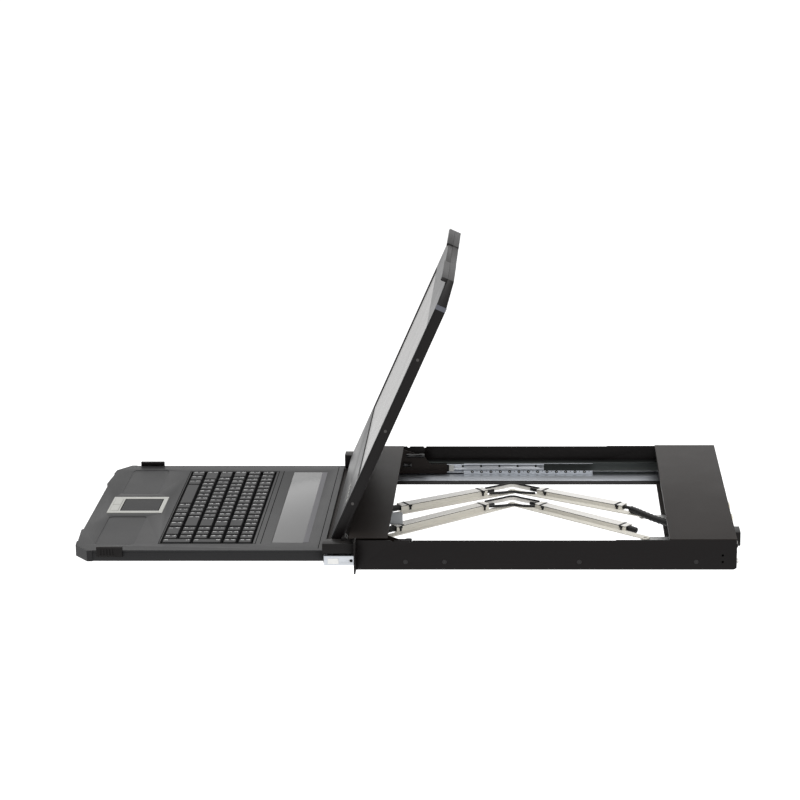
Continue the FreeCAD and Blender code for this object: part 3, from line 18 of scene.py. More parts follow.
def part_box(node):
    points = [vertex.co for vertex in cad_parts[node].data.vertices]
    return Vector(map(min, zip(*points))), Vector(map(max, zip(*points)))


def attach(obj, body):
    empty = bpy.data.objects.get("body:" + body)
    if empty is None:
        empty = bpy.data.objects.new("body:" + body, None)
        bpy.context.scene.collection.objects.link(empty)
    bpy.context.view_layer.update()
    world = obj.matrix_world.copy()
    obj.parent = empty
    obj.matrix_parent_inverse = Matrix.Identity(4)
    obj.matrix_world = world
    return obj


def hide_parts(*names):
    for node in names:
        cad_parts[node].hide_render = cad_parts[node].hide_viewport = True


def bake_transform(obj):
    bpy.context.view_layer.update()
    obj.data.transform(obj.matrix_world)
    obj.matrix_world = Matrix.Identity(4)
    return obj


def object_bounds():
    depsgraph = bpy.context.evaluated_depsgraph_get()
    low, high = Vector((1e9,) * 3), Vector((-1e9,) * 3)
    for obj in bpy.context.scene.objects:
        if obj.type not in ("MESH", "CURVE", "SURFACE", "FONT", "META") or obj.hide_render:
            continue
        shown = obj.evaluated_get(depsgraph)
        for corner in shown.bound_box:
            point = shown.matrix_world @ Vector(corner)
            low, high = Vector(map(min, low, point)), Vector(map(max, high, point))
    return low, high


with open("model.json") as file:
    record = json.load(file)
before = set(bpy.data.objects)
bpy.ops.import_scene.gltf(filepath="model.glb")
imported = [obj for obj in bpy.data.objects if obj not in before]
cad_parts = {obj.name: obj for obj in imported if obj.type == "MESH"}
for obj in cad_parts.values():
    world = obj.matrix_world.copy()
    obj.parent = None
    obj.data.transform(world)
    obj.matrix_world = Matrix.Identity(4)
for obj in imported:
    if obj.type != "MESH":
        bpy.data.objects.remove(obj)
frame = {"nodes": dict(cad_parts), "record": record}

MM = 0.001
nodes = frame["nodes"]
cad_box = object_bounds()
print("CAD pieces:", len(nodes), "box:", [tuple(round(v, 3) for v in p) for p in cad_box])

# %% [markdown]
# The drawer hangs in a rack by its ears, so the floor lies well below it and takes
# only a faint shadow. The camera stands far off on the user's right and looks down
# a little, with a long lens: that keeps the tray's edges nearly parallel.

# %% Camera
CAMERA_PLACE = Vector((3.340, 0.234, 1.0562))
CAMERA_TILT = math.radians(15.19)
LENS_MM = 112.68
LENS_SHIFT = -0.168

camera_data = bpy.data.cameras.new("camera")
camera_data.sensor_width = 36.0
camera_data.lens = LENS_MM
camera_data.shift_x = LENS_SHIFT
camera = bpy.data.objects.new("camera", camera_data)
camera.location = CAMERA_PLACE
camera.rotation_euler = (math.pi / 2 - CAMERA_TILT, 0, math.pi / 2)
bpy.context.scene.collection.objects.link(camera)
bpy.context.scene.camera = camera
print("camera at", tuple(camera.location))

# %% [markdown]
# A softbox is an area lamp: the larger it is, the softer its shadows. One hangs
# over the object and one lights the user's end. The studio's paper does the rest.
# The drawer is nearly all black, so what the eye sees on its top faces is mostly
# that white paper, mirrored at a flat angle. Hence the world is pure white for the
# camera and for reflections, and dimmer where it only fills in the shadows.

# %% Lamps and world
def softbox(name, place, target, size, power):
    data = bpy.data.lights.new(name, "AREA")
    data.shape = "SQUARE"
    data.size = size
    data.energy = power
    lamp = bpy.data.objects.new(name, data)
    lamp.location = place
    lamp.rotation_euler = (Vector(target) - Vector(place)).to_track_quat("-Z", "Y").to_euler()
    bpy.context.scene.collection.objects.link(lamp)


def seen_or_mirrored(tree):
    """1 for rays from the camera, from a reflection or through glass, otherwise 0."""
    path = tree.nodes.new("ShaderNodeLightPath")
    total = path.outputs["Is Camera Ray"]
    for label in ("Is Glossy Ray", "Is Transmission Ray"):
        either = tree.nodes.new("ShaderNodeMath")
        either.operation = "MAXIMUM"
        tree.links.new(total, either.inputs[0])
        tree.links.new(path.outputs[label], either.inputs[1])
        total = either.outputs[0]
    return total


softbox("top_softbox", (-0.6, 0.2, 2.6), (0, 0.1, 0), 2.0, 36)
softbox("user_softbox", (0.6, -2.6, 1.4), (0, 0, 0), 1.6, 10)
softbox("side_softbox", (2.8, 0.6, 1.3), (0, 0.1, 0), 1.6, 16)

FILL_STRENGTH = 0.55
world = bpy.data.worlds.new("studio")
world.use_nodes = True
tree = world.node_tree
fill = tree.nodes["Background"]
fill.inputs["Color"].default_value = (1, 1, 1, 1)
fill.inputs["Strength"].default_value = FILL_STRENGTH
paper = tree.nodes.new("ShaderNodeBackground")
paper.inputs["Color"].default_value = (1, 1, 1, 1)
paper.inputs["Strength"].default_value = 1.0
mix = tree.nodes.new("ShaderNodeMixShader")
tree.links.new(seen_or_mirrored(tree), mix.inputs[0])
tree.links.new(fill.outputs[0], mix.inputs[1])
tree.links.new(paper.outputs[0], mix.inputs[2])
tree.links.new(mix.outputs[0], tree.nodes["World Output"].inputs[0])
bpy.context.scene.world = world
bpy.context.scene.view_settings.view_transform = "Standard"
print("fill strength", FILL_STRENGTH)

# %% [markdown]
# The floor is one large face of white paper, well below the drawer, which hangs by
# its ears. A little glow, only where it is seen or mirrored, lifts its white to that
# of the paper behind, and the drawer's faint shadow stays on it.

# %% Floor
FLOOR_DROP = 0.45
FLOOR_GLOW = 0.62


def floor_material():
    material = bpy.data.materials.new("floor_paper")
    material.use_nodes = True
    tree = material.node_tree
    shader = tree.nodes["Principled BSDF"]
    shader.inputs["Base Color"].default_value = (0.88, 0.88, 0.88, 1)
    shader.inputs["Roughness"].default_value = 0.9
    shader.inputs["Specular IOR Level"].default_value = 0.0
    fibres = tree.nodes.new("ShaderNodeTexNoise")
    fibres.inputs["Scale"].default_value = 900
    relief = tree.nodes.new("ShaderNodeBump")
    relief.inputs["Strength"].default_value = 0.05
    relief.inputs["Distance"].default_value = 0.0002
    tree.links.new(fibres.outputs["Fac"], relief.inputs["Height"])
    tree.links.new(relief.outputs[0], shader.inputs["Normal"])
    shader.inputs["Emission Color"].default_value = (1, 1, 1, 1)
    strength = tree.nodes.new("ShaderNodeMath")
    strength.operation = "MULTIPLY"
    strength.inputs[1].default_value = FLOOR_GLOW
    tree.links.new(seen_or_mirrored(tree), strength.inputs[0])
    tree.links.new(strength.outputs[0], shader.inputs["Emission Strength"])
    return material


floor_mesh = bpy.data.meshes.new("floor")
bm = bmesh.new()
bmesh.ops.create_grid(bm, x_segments=1, y_segments=1, size=30)
bmesh.ops.translate(bm, verts=bm.verts, vec=(0, 0, cad_box[0][2] - FLOOR_DROP))
bm.to_mesh(floor_mesh)
bm.free()
floor = bpy.data.objects.new("floor", floor_mesh)
floor_mesh.materials.append(floor_material())
bpy.context.scene.collection.objects.link(floor)
print("floor at", round(cad_box[0][2] - FLOOR_DROP, 3))

# %% [markdown]
# Finishes share three effects, each built once as a node group. Grain is the tiny
# relief of powder coat or moulded plastic. Brushing is the same noise pulled long
# along one axis, as left by rolling or plating. Dust settles in soft patches on
# whatever faces up. A group gives out numbers and colours only, and the shader
# stays in the material.

# %% Shared effects
def make_group(name, inputs, outputs):
    """An empty shader group with named sockets, and its input and output nodes."""
    group = bpy.data.node_groups.new(name, "ShaderNodeTree")
    for label, kind, value in inputs:
        socket = group.interface.new_socket(name=label, in_out="INPUT", socket_type=kind)
        socket.default_value = value
    for label, kind in outputs:
        group.interface.new_socket(name=label, in_out="OUTPUT", socket_type=kind)
    return group, group.nodes.new("NodeGroupInput"), group.nodes.new("NodeGroupOutput")


def math_node(tree, operation, first, second):
    """A Math node whose inputs are sockets or plain numbers."""
    node = tree.nodes.new("ShaderNodeMath")
    node.operation = operation
    for index, value in enumerate((first, second)):
        if isinstance(value, (int, float)):
            node.inputs[index].default_value = value
        else:
            tree.links.new(value, node.inputs[index])
    return node.outputs[0]


def mix_colour(tree, factor, first, second, blend="MIX"):
    """A colour mix whose inputs are sockets or plain values."""
    node = tree.nodes.new("ShaderNodeMix")
    node.data_type = "RGBA"
    node.blend_type = blend
    factor_in, first_in, second_in = node.inputs[0], node.inputs[6], node.inputs[7]
    for socket, value in ((factor_in, factor), (first_in, first), (second_in, second)):
        if isinstance(value, bpy.types.NodeSocket):
            tree.links.new(value, socket)
        else:
            socket.default_value = value
    return node.outputs[2]


def noise(tree, vector, scale, detail=3.0):
    node = tree.nodes.new("ShaderNodeTexNoise")
    node.inputs["Detail"].default_value = detail
    tree.links.new(vector, node.inputs["Vector"])
    if isinstance(scale, (int, float)):
        node.inputs["Scale"].default_value = scale
    else:
        tree.links.new(scale, node.inputs["Scale"])
    return node.outputs["Fac"]


COLOUR, VALUE, VECTOR = "NodeSocketColor", "NodeSocketFloat", "NodeSocketVector"


def grain_group():
    group, inside, outside = make_group(
        "grain",
        [("Colour", COLOUR, (0.5, 0.5, 0.5, 1)), ("Scale", VALUE, 1200.0), ("Variation", VALUE, 0.2),
         ("Roughness", VALUE, 0.5), ("Roughness spread", VALUE, 0.1)],
        [("Colour", COLOUR), ("Roughness", VALUE), ("Height", VALUE)],
    )
    place = group.nodes.new("ShaderNodeTexCoord").outputs["Object"]
    fine = noise(group, place, inside.outputs["Scale"])
    broad = noise(group, place, 14.0, 2.0)
    fine_part = math_node(group, "MULTIPLY", fine, 0.6)
    broad_part = math_node(group, "MULTIPLY", broad, 0.4)
    both = math_node(group, "ADD", fine_part, broad_part)
    centred = math_node(group, "SUBTRACT", both, 0.5)
    shade = math_node(group, "ADD", math_node(group, "MULTIPLY", centred, inside.outputs["Variation"]), 1.0)
    tint = group.nodes.new("ShaderNodeCombineXYZ")
    for axis in range(3):
        group.links.new(shade, tint.inputs[axis])
    colour = mix_colour(group, 1.0, inside.outputs["Colour"], tint.outputs[0], "MULTIPLY")
    spread = math_node(group, "MULTIPLY", centred, inside.outputs["Roughness spread"])
    rough = math_node(group, "ADD", spread, inside.outputs["Roughness"])
    group.links.new(colour, outside.inputs["Colour"])
    group.links.new(rough, outside.inputs["Roughness"])
    group.links.new(fine, outside.inputs["Height"])
    return group


def brushing_group():
    group, inside, outside = make_group(
        "brushing",
        [("Stretch", VECTOR, (900.0, 12.0, 900.0)), ("Roughness", VALUE, 0.3), ("Spread", VALUE, 0.3)],
        [("Roughness", VALUE), ("Height", VALUE)],
    )
    place = group.nodes.new("ShaderNodeTexCoord").outputs["Object"]
    scaled = group.nodes.new("ShaderNodeVectorMath")
    scaled.operation = "MULTIPLY"
    group.links.new(place, scaled.inputs[0])
    group.links.new(inside.outputs["Stretch"], scaled.inputs[1])
    lines = noise(group, scaled.outputs[0], 1.0)
    centred = math_node(group, "SUBTRACT", lines, 0.5)
    spread = math_node(group, "MULTIPLY", centred, inside.outputs["Spread"])
    rough = math_node(group, "ADD", spread, inside.outputs["Roughness"])
    group.links.new(rough, outside.inputs["Roughness"])
    group.links.new(lines, outside.inputs["Height"])
    return group


def dust_group():
    group, inside, outside = make_group(
        "dust",
        [("Colour", COLOUR, (0.5, 0.5, 0.5, 1)), ("Dust", COLOUR, (0.35, 0.34, 0.32, 1)),
         ("Amount", VALUE, 0.06)],
        [("Colour", COLOUR)],
    )
    place = group.nodes.new("ShaderNodeTexCoord").outputs["Object"]
    patches = noise(group, place, 9.0, 4.0)
    normal = group.nodes.new("ShaderNodeNewGeometry").outputs["Normal"]
    split = group.nodes.new("ShaderNodeSeparateXYZ")
    group.links.new(normal, split.inputs[0])
    upward = math_node(group, "MAXIMUM", split.outputs["Z"], 0.0)
    settled = math_node(group, "MULTIPLY", patches, upward)
    amount = math_node(group, "MULTIPLY", settled, inside.outputs["Amount"])
    colour = mix_colour(group, amount, inside.outputs["Colour"], inside.outputs["Dust"])
    group.links.new(colour, outside.inputs["Colour"])
    return group


GRAIN, BRUSHING, DUST = grain_group(), brushing_group(), dust_group()
print("shared effects:", GRAIN.name, BRUSHING.name, DUST.name)

# %% [markdown]
# Most of the drawer is powder-coated steel or moulded plastic. Both are a plain
# dielectric: what tells them apart is how rough they are and how coarse the grain.
# Their materials differ in numbers only, so one function makes them all.

# %% Painted steel and plastic
def place_group(tree, group, **values):
    node = tree.nodes.new("ShaderNodeGroup")
    node.node_tree = group
    for label, value in values.items():
        node.inputs[label.replace("_", " ")].default_value = value
    return node


def add_bump(tree, height, strength, distance):
    bump = tree.nodes.new("ShaderNodeBump")
    bump.inputs["Strength"].default_value = strength
    bump.inputs["Distance"].default_value = distance
    tree.links.new(height, bump.inputs["Height"])
    tree.links.new(bump.outputs[0], tree.nodes["Principled BSDF"].inputs["Normal"])


def grained(name, colour, roughness, scale, relief, variation=0.25, dust=0.05, specular=0.5):
    """Painted steel or moulded plastic, with a grain of about 1 / scale metres."""
    material = bpy.data.materials.new(name)
    material.use_nodes = True
    tree = material.node_tree
    shader = tree.nodes["Principled BSDF"]
    shader.inputs["Specular IOR Level"].default_value = specular
    grain = place_group(tree, GRAIN, Colour=(*colour, 1), Scale=scale, Variation=variation,
                        Roughness=roughness, Roughness_spread=0.25)
    settled = place_group(tree, DUST, Amount=dust)
    tree.links.new(grain.outputs["Colour"], settled.inputs["Colour"])
    tree.links.new(settled.outputs["Colour"], shader.inputs["Base Color"])
    tree.links.new(grain.outputs["Roughness"], shader.inputs["Roughness"])
    add_bump(tree, grain.outputs["Height"], 0.5, relief)
    return material


finishes = {
    "dark_steel": grained("black_powder_coat", (0.0046, 0.0034, 0.0034), 0.42, 1400, 0.00004, specular=0.15),
    "rear_metal": grained("grey_powder_coat", (0.0100, 0.0068, 0.0056), 0.50, 1400, 0.00005, specular=0.14),
    "tray_plastic": grained("tray_texture", (0.016, 0.016, 0.017), 0.42, 2200, 0.00006, specular=0.20),
    "black_plastic": grained("black_moulding", (0.0050, 0.0040, 0.0040), 0.40, 2400, 0.00004, specular=0.17),
    "key_plastic": grained("key_caps", (0.013, 0.013, 0.014), 0.42, 2600, 0.00004, specular=0.20),
    "bezel_plastic": grained("display_bezel", (0.020, 0.020, 0.021), 0.36, 2400, 0.00003, specular=0.25),
    "window_gloss": grained("grey_window", (0.17, 0.17, 0.17), 0.22, 900, 0.00001, 0.06, 0.02, 0.4),
    "silver_plastic": grained("silver_paint", (0.46, 0.46, 0.43), 0.40, 2600, 0.00003, 0.12, 0.03, 0.4),
    "pad_plastic": grained("touch_surface", (0.009, 0.009, 0.010), 0.45, 3000, 0.00004, specular=0.14),
    "cream_plastic": grained("cream_duct", (0.80, 0.77, 0.69), 0.45, 1500, 0.00002, 0.08, 0.03),
    "cable_rubber": grained("cable_jacket", (0.012, 0.012, 0.012), 0.50, 1800, 0.00006, specular=0.25),
    "white_nylon": grained("white_nylon", (0.60, 0.60, 0.57), 0.40, 1500, 0.00002),
    "bumper_rubber": grained("corner_rubber", (0.016, 0.016, 0.017), 0.45, 2000, 0.00006, specular=0.20),
    "board_green": grained("circuit_board", (0.015, 0.090, 0.045), 0.35, 700, 0.00003, 0.5),
}
print("painted and moulded finishes:", len(finishes))

# %% [markdown]
# Zinc plate, the sockets' shells and the screws are metal. A metal's base colour
# tints its reflections, and fine lines along the rolling direction make them run.

# %% Metals
def metal(name, colour, roughness, stretch, relief):
    material = bpy.data.materials.new(name)
    material.use_nodes = True
    tree = material.node_tree
    shader = tree.nodes["Principled BSDF"]
    shader.inputs["Metallic"].default_value = 1.0
    brushed = place_group(tree, BRUSHING, Stretch=stretch, Roughness=roughness, Spread=0.25)
    grain = place_group(tree, GRAIN, Colour=(*colour, 1), Scale=300.0, Variation=0.18)
    tree.links.new(grain.outputs["Colour"], shader.inputs["Base Color"])
    tree.links.new(brushed.outputs["Roughness"], shader.inputs["Roughness"])
    add_bump(tree, brushed.outputs["Height"], 0.3, relief)
    return material


ALONG_Y = (1100.0, 14.0, 1100.0)
EVEN = (400.0, 400.0, 400.0)
finishes["zinc"] = metal("zinc_plate", (0.49, 0.51, 0.54), 0.36, ALONG_Y, 0.00002)
finishes["zinc_bar"] = metal("zinc_bar", (0.62, 0.62, 0.61), 0.34, ALONG_Y, 0.00002)
finishes["port_metal"] = metal("socket_shell", (0.70, 0.66, 0.55), 0.30, EVEN, 0.00001)
finishes["screw_steel"] = metal("screw_plate", (0.55, 0.54, 0.52), 0.32, EVEN, 0.00001)
print("metals:", [finishes[k].name for k in ("zinc", "zinc_bar", "port_metal", "screw_steel")])

# %% [markdown]
# The screen is off. A thin matt film over a pale layer scatters the studio's light,
# so seen along its surface it looks light grey. A clear coat gives that sheen.

# %% Screen
def screen_material():
    material = grained("screen_film", (0.085, 0.078, 0.073), 0.30, 4000, 0.000003, 0.04, 0.0)
    shader = material.node_tree.nodes["Principled BSDF"]
    shader.inputs["Coat Weight"].default_value = 0.25
    shader.inputs["Coat Roughness"].default_value = 0.22
    return material


finishes["panel_glass"] = screen_material()
print("finishes with the metals and the screen:", len(finishes))

# %% [markdown]
# The record says which material slot each CAD node has, so each slot is painted with
# the finish of the same name.

# %% Paint the CAD pieces
slot_of = {s["node"]: s["material_slot"] for s in frame["record"]["subparts"]}


def set_material(piece, material):
    piece.data.materials.clear()
    piece.data.materials.append(material)


for node, slot in slot_of.items():
    set_material(nodes[node], finishes[slot])
print("slots painted:", len(set(slot_of.values())))

# %% [markdown]
# The pieces whose edges show are stood for by softened copies: the loose CAD
# triangles are merged, flat neighbours joined, and the sharp edges bevelled by a few
# tenths of a millimetre. Folded sheet gets the smallest round, mouldings a larger
# one. A copy rides on the body that its CAD piece belongs to.

# %% Soften the CAD pieces
SHARP_ANGLE = math.radians(28)
MERGE_DISTANCE = 0.005 * MM
FLAT_ANGLE = math.radians(0.5)
bodies = frame["record"]["behaviour"]["bodies"]
body_of = {node: body for body, members in bodies.items() for node in members}


def new_piece(name, bm, material, body, smooth=True, second=None):
    """A finished mesh becomes an object at the origin that rides on a body."""
    mesh = bpy.data.meshes.new(name)
    mesh.materials.append(material)
    if second:
        mesh.materials.append(second)
    for face in bm.faces:
        face.smooth = smooth
    bm.to_mesh(mesh)
    bm.free()
    piece = bpy.data.objects.new(name, mesh)
    bpy.context.scene.collection.objects.link(piece)
    if smooth:
        mesh.set_sharp_from_angle(angle=SHARP_ANGLE)
    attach(piece, body)
    return piece


def merged_copy(node):
    """The CAD node's triangles as one clean bmesh of joined flat faces."""
    bm = bmesh.new()
    bm.from_mesh(nodes[node].data)
    bmesh.ops.remove_doubles(bm, verts=bm.verts, dist=MERGE_DISTANCE)
    bmesh.ops.dissolve_limit(bm, angle_limit=FLAT_ANGLE, verts=bm.verts, edges=bm.edges)
    return bm


def soften(bm, width, segments=2):
    """Bevels every sharp edge of a bmesh."""
    edges = [e for e in bm.edges if len(e.link_faces) == 2 and e.calc_face_angle(0) > SHARP_ANGLE]
    bmesh.ops.bevel(bm, geom=edges, offset=width, segments=segments, profile=0.5,
                    affect="EDGES", material=-1, clamp_overlap=True)


def softened(node, width, segments=2):
    """A copy of a CAD node with its sharp edges rounded, in the node's place."""
    bm = merged_copy(node)
    soften(bm, width, segments)
    piece = new_piece(node + "_soft", bm, finishes[slot_of[node]], body_of[node])
    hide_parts(node)


SHEET_ROUND = 0.25 * MM
MOULD_ROUND = 0.6 * MM
KEY_ROUND = 0.35 * MM
folded = ["side_plate_right", "side_plate_left", "rack_ears", "rear_cover", "rear_deck", "hinge_base",
          "mid_rail_right", "mid_rail_left",
          "far_arm_front_link", "far_arm_rear_link", "near_arm_front_link", "near_arm_rear_link"]
moulded = ["tray_top", "tray_base", "hinge_blocks", "side_catch_right", "side_catch_left",
           "touchpad_frame", "window_panel", "lcd_bezel", "power_socket"]
keys = ["function_keys", "number_keys", "letter_keys", "space_bar", "numpad_keys"]
for node in folded:
    softened(node, SHEET_ROUND)
for node in moulded:
    softened(node, MOULD_ROUND)
for node in keys:
    softened(node, KEY_ROUND, 1)
print("softened:", len(folded) + len(moulded) + len(keys))

# %% [markdown]
# The screws come as two kinds. Those along the sides are painted over with the black
# powder coat, so they hardly show. The earthing screw and the nuts at the back are
# bright. Both kinds belong to one CAD node, so its faces are sorted by place. In the
# same way the outer rails are dark above, with a bright foot below.

# %% Screws of the housing and the display, and the outer rails
SIDE_FACE = 218.0 * MM
REAR_FACE = 495.0 * MM
SCREW_ROUND = 0.15 * MM
FOOT_TOP = -19.0 * MM


def two_tone(node, width, second, is_second, segments=2):
    """A softened copy of a node in which the faces that pass a test take a second finish."""
    bm = merged_copy(node)
    soften(bm, width, segments)
    for face in bm.faces:
        if is_second(face):
            face.material_index = 1
    piece = new_piece(node + "_two_tone", bm, finishes[slot_of[node]], body_of[node], second=second)
    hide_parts(node)


def on_the_side(face):
    middle = face.calc_center_median()
    return abs(middle.x) > SIDE_FACE and middle.y < REAR_FACE


def above_the_foot(face):
    return face.calc_center_median().z > FOOT_TOP


painted_screw = grained("painted_screw", (0.012, 0.011, 0.011), 0.35, 900, 0.00002, specular=0.3)
display_screw = grained("display_screw", (0.045, 0.040, 0.038), 0.35, 900, 0.00002, specular=0.5)
dark_zinc = metal("dark_zinc", (0.055, 0.060, 0.058), 0.42, ALONG_Y, 0.00002)
two_tone("housing_screws", SCREW_ROUND, painted_screw, on_the_side, 1)
set_material(nodes["lcd_screws"], display_screw)
for node in ("outer_rail_right", "outer_rail_left"):
    two_tone(node, SHEET_ROUND, dark_zinc, above_the_foot)
print("screws painted and outer rails darkened above the foot")

# %% [markdown]
# The display's top edge is a handle: a thick bar that hooks over the tray's front
# when folded down. The slab's back slopes forward into it. The two shell pieces are
# cut off below the bar, and the bar is drawn in the display's own flat frame, with
# x across, y up from the hinge and z towards the viewer, then stood up with it. The
# front faces of its lip are finished like the bezel.

# %% The display's top bar
HINGE_LINE = Vector((0, -17.0, 13.15)) * MM
LEAN_BACK = math.radians(24.3)
STAND_UP = Matrix.Translation(HINGE_LINE) @ Matrix.Rotation(math.pi / 2 - LEAN_BACK, 4, "X")
LCD_BACK, LCD_THICK, BEZEL_THICK = 1.8 * MM, 14.2 * MM, 1.6 * MM
BAR_FOOT = 335.0 * MM
BAR_SLOPE = 4.0 * MM
HALF_LCD, LCD_CORNER, LCD_TOP = 193.0 * MM, 340.0 * MM, 369.0 * MM
BAR_CORNER, GRIP_HALF, GRIP_DEPTH, GRIP_DROP = 159.0 * MM, 57.0 * MM, 1.5 * MM, 2.0 * MM
LIP_FOOT, LIP_HOOK = 364.6 * MM, 7.0 * MM
SHELL_ROUND, BAR_ROUND = 0.4 * MM, 0.5 * MM
FACES_UP = 0.8


def prism(bm, outline, low, high):
    """A closed prism over an outline of (x, y) points. Returns its vertices."""
    face = bm.faces.new([bm.verts.new((x, y, low)) for x, y in outline])
    grown = bmesh.ops.extrude_face_region(bm, geom=[face])["geom"]
    top = [v for v in grown if isinstance(v, bmesh.types.BMVert)]
    bmesh.ops.translate(bm, verts=top, vec=(0, 0, high - low))
    return list(face.verts) + top


def cut_off(node, width):
    """A softened copy of a display shell that ends where the bar begins."""
    bm = merged_copy(node)
    bmesh.ops.transform(bm, matrix=STAND_UP.inverted(), verts=bm.verts)
    everything = list(bm.verts) + list(bm.edges) + list(bm.faces)
    bmesh.ops.bisect_plane(bm, geom=everything, plane_co=(0, BAR_FOOT, 0), plane_no=(0, 1, 0),
                           clear_outer=True)
    bmesh.ops.holes_fill(bm, edges=[e for e in bm.edges if e.is_boundary], sides=0)
    soften(bm, width)
    bmesh.ops.transform(bm, matrix=STAND_UP, verts=bm.verts)
    piece = new_piece(node + "_shell", bm, finishes[slot_of[node]], "display")
    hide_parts(node)


cut_off("lcd_back_cover", SHELL_ROUND)
cut_off("lcd_frame", SHELL_ROUND)

seat = LCD_BACK + LCD_THICK - BEZEL_THICK
bm = bmesh.new()
half = [(HALF_LCD, BAR_FOOT), (HALF_LCD, LCD_CORNER), (BAR_CORNER, LCD_TOP),
        (GRIP_HALF + GRIP_DEPTH, LCD_TOP), (GRIP_HALF, LCD_TOP - GRIP_DEPTH)]
outline = half + [(-x, y) for x, y in reversed(half)]
bar = prism(bm, outline, LCD_BACK, seat)
for vert in bar[:len(outline)]:
    vert.co.z += BAR_SLOPE * (vert.co.y - BAR_FOOT) / (LCD_TOP - BAR_FOOT)
foot_x = HALF_LCD - (HALF_LCD - BAR_CORNER) * (LIP_FOOT - LCD_CORNER) / (LCD_TOP - LCD_CORNER)
for side in (1, -1):
    end = [(side * foot_x, LIP_FOOT), (side * BAR_CORNER, LCD_TOP),
           (side * (GRIP_HALF + GRIP_DEPTH), LCD_TOP), (side * (GRIP_HALF + GRIP_DEPTH), LIP_FOOT)]
    prism(bm, end, seat, seat + BEZEL_THICK + LIP_HOOK)
grip = [(GRIP_HALF + GRIP_DEPTH, LIP_FOOT), (GRIP_HALF, LCD_TOP - GRIP_DEPTH),
        (-GRIP_HALF, LCD_TOP - GRIP_DEPTH), (-GRIP_HALF - GRIP_DEPTH, LIP_FOOT)]
prism(bm, grip, seat, seat + BEZEL_THICK + LIP_HOOK - GRIP_DROP)
bmesh.ops.recalc_face_normals(bm, faces=bm.faces)
soften(bm, BAR_ROUND)
for face in bm.faces:
    if face.normal.z > FACES_UP and face.calc_center_median().z > seat + BEZEL_THICK:
        face.material_index = 1
bmesh.ops.transform(bm, matrix=STAND_UP, verts=bm.verts)
top_bar = new_piece("display_top_bar", bm, finishes["black_plastic"], "display",
                    second=finishes["bezel_plastic"])
print("top bar:", len(top_bar.data.polygons), "faces")

# %% [markdown]
# Small parts are drawn as blocks with rounded edges: a cube of the right size, its
# edges bevelled. A matrix puts them into a leaning or turned frame. The first blocks
# are blue-grey strips at the ends of the display's bar, painted highlights where light catches its rounded
# ends.

# %% Rounded blocks and the display's painted edge highlights
def add_block(bm, low, high):
    """A block between two corners, in millimetres, as new geometry of a bmesh."""
    size = [(b - a) * MM for a, b in zip(low, high)]
    middle = Vector([(a + b) / 2 * MM for a, b in zip(low, high)])
    shape = Matrix.Translation(middle) @ Matrix.Diagonal((*size, 1))
    bmesh.ops.create_cube(bm, size=1, matrix=shape)


def blocks(name, boxes, material, body, place=Matrix.Identity(4), width=0.15):
    """One piece made of rounded blocks, given as pairs of corners in millimetres."""
    bm = bmesh.new()
    for low, high in boxes:
        add_block(bm, low, high)
    soften(bm, width * MM, 1)
    bmesh.ops.transform(bm, matrix=place, verts=bm.verts)
    new_piece(name, bm, material, body)


STRIP_HALF = 0.3
STRIP_FOOT, STRIP_TOP = 333.5, 339.8
STRIP_BACK, STRIP_FRONT = 1.9, 15.9
# a blue-grey painted highlight on the rounded edges at the bar's ends
painted_highlight_grey = grained("painted_highlight_grey", (0.10, 0.105, 0.13), 0.35, 1500, 0.00002, specular=0.5)
ends = [side * HALF_LCD / MM for side in (1, -1)]
blocks("display_end_highlights",
       [((x - STRIP_HALF, STRIP_FOOT, STRIP_BACK), (x + STRIP_HALF, STRIP_TOP, STRIP_FRONT)) for x in ends],
       painted_highlight_grey, "display", STAND_UP)
print("strips on the display's ends:", len(ends))

# %% [markdown]
# Every key cap carries small white legends. Here each cap but the space bar has two
# plain digits, printed near both its left corners, where a keyboard shows a key's
# sign and its shifted one. Strokes this small need no depth: each is one flat face.

# %% Legends on the keys
# the seven strokes of a digit, each a (middle x, middle y, is upright) in half sizes
STROKES = [(0, 1, 0), (1, 0.5, 1), (1, -0.5, 1), (0, -1, 0), (-1, -0.5, 1), (-1, 0.5, 1), (0, 0, 0)]
LIT = ["012345", "12", "01346", "01236", "1256", "02356", "023456", "012", "0123456", "012356"]
LEGEND_HALF_WIDTH, LEGEND_HALF_HEIGHT, STROKE = 1.1, 1.8, 0.9
LEGEND_FROM_LEFT, LEGEND_FROM_EDGE, PRINT_LIFT = 3.4, 3.6, 0.04
LEVEL_NORMAL, LEVEL_WITHIN, SMALLEST_CAP = 0.99, 0.05, 6
DIGIT_STEP = 7
legend_white = grained("legend_print", (0.85, 0.85, 0.85), 0.5, 1500, 0.000005, 0.05, 0.0)


def cap_tops(node):
    """Middle and half sizes, in millimetres, of each key's flat top."""
    bm = merged_copy(node)
    top = max(v.co.z for v in bm.verts)
    found = []
    for face in bm.faces:
        level = abs(face.calc_center_median().z - top) < LEVEL_WITHIN * MM
        if face.normal.z > LEVEL_NORMAL and level:
            xs = [v.co.x / MM for v in face.verts]
            ys = [v.co.y / MM for v in face.verts]
            if min(max(xs) - min(xs), max(ys) - min(ys)) > SMALLEST_CAP:
                middle = ((max(xs) + min(xs)) / 2, (max(ys) + min(ys)) / 2)
                found.append((*middle, (max(xs) - min(xs)) / 2, (max(ys) - min(ys)) / 2, top / MM))
    bm.free()
    return found


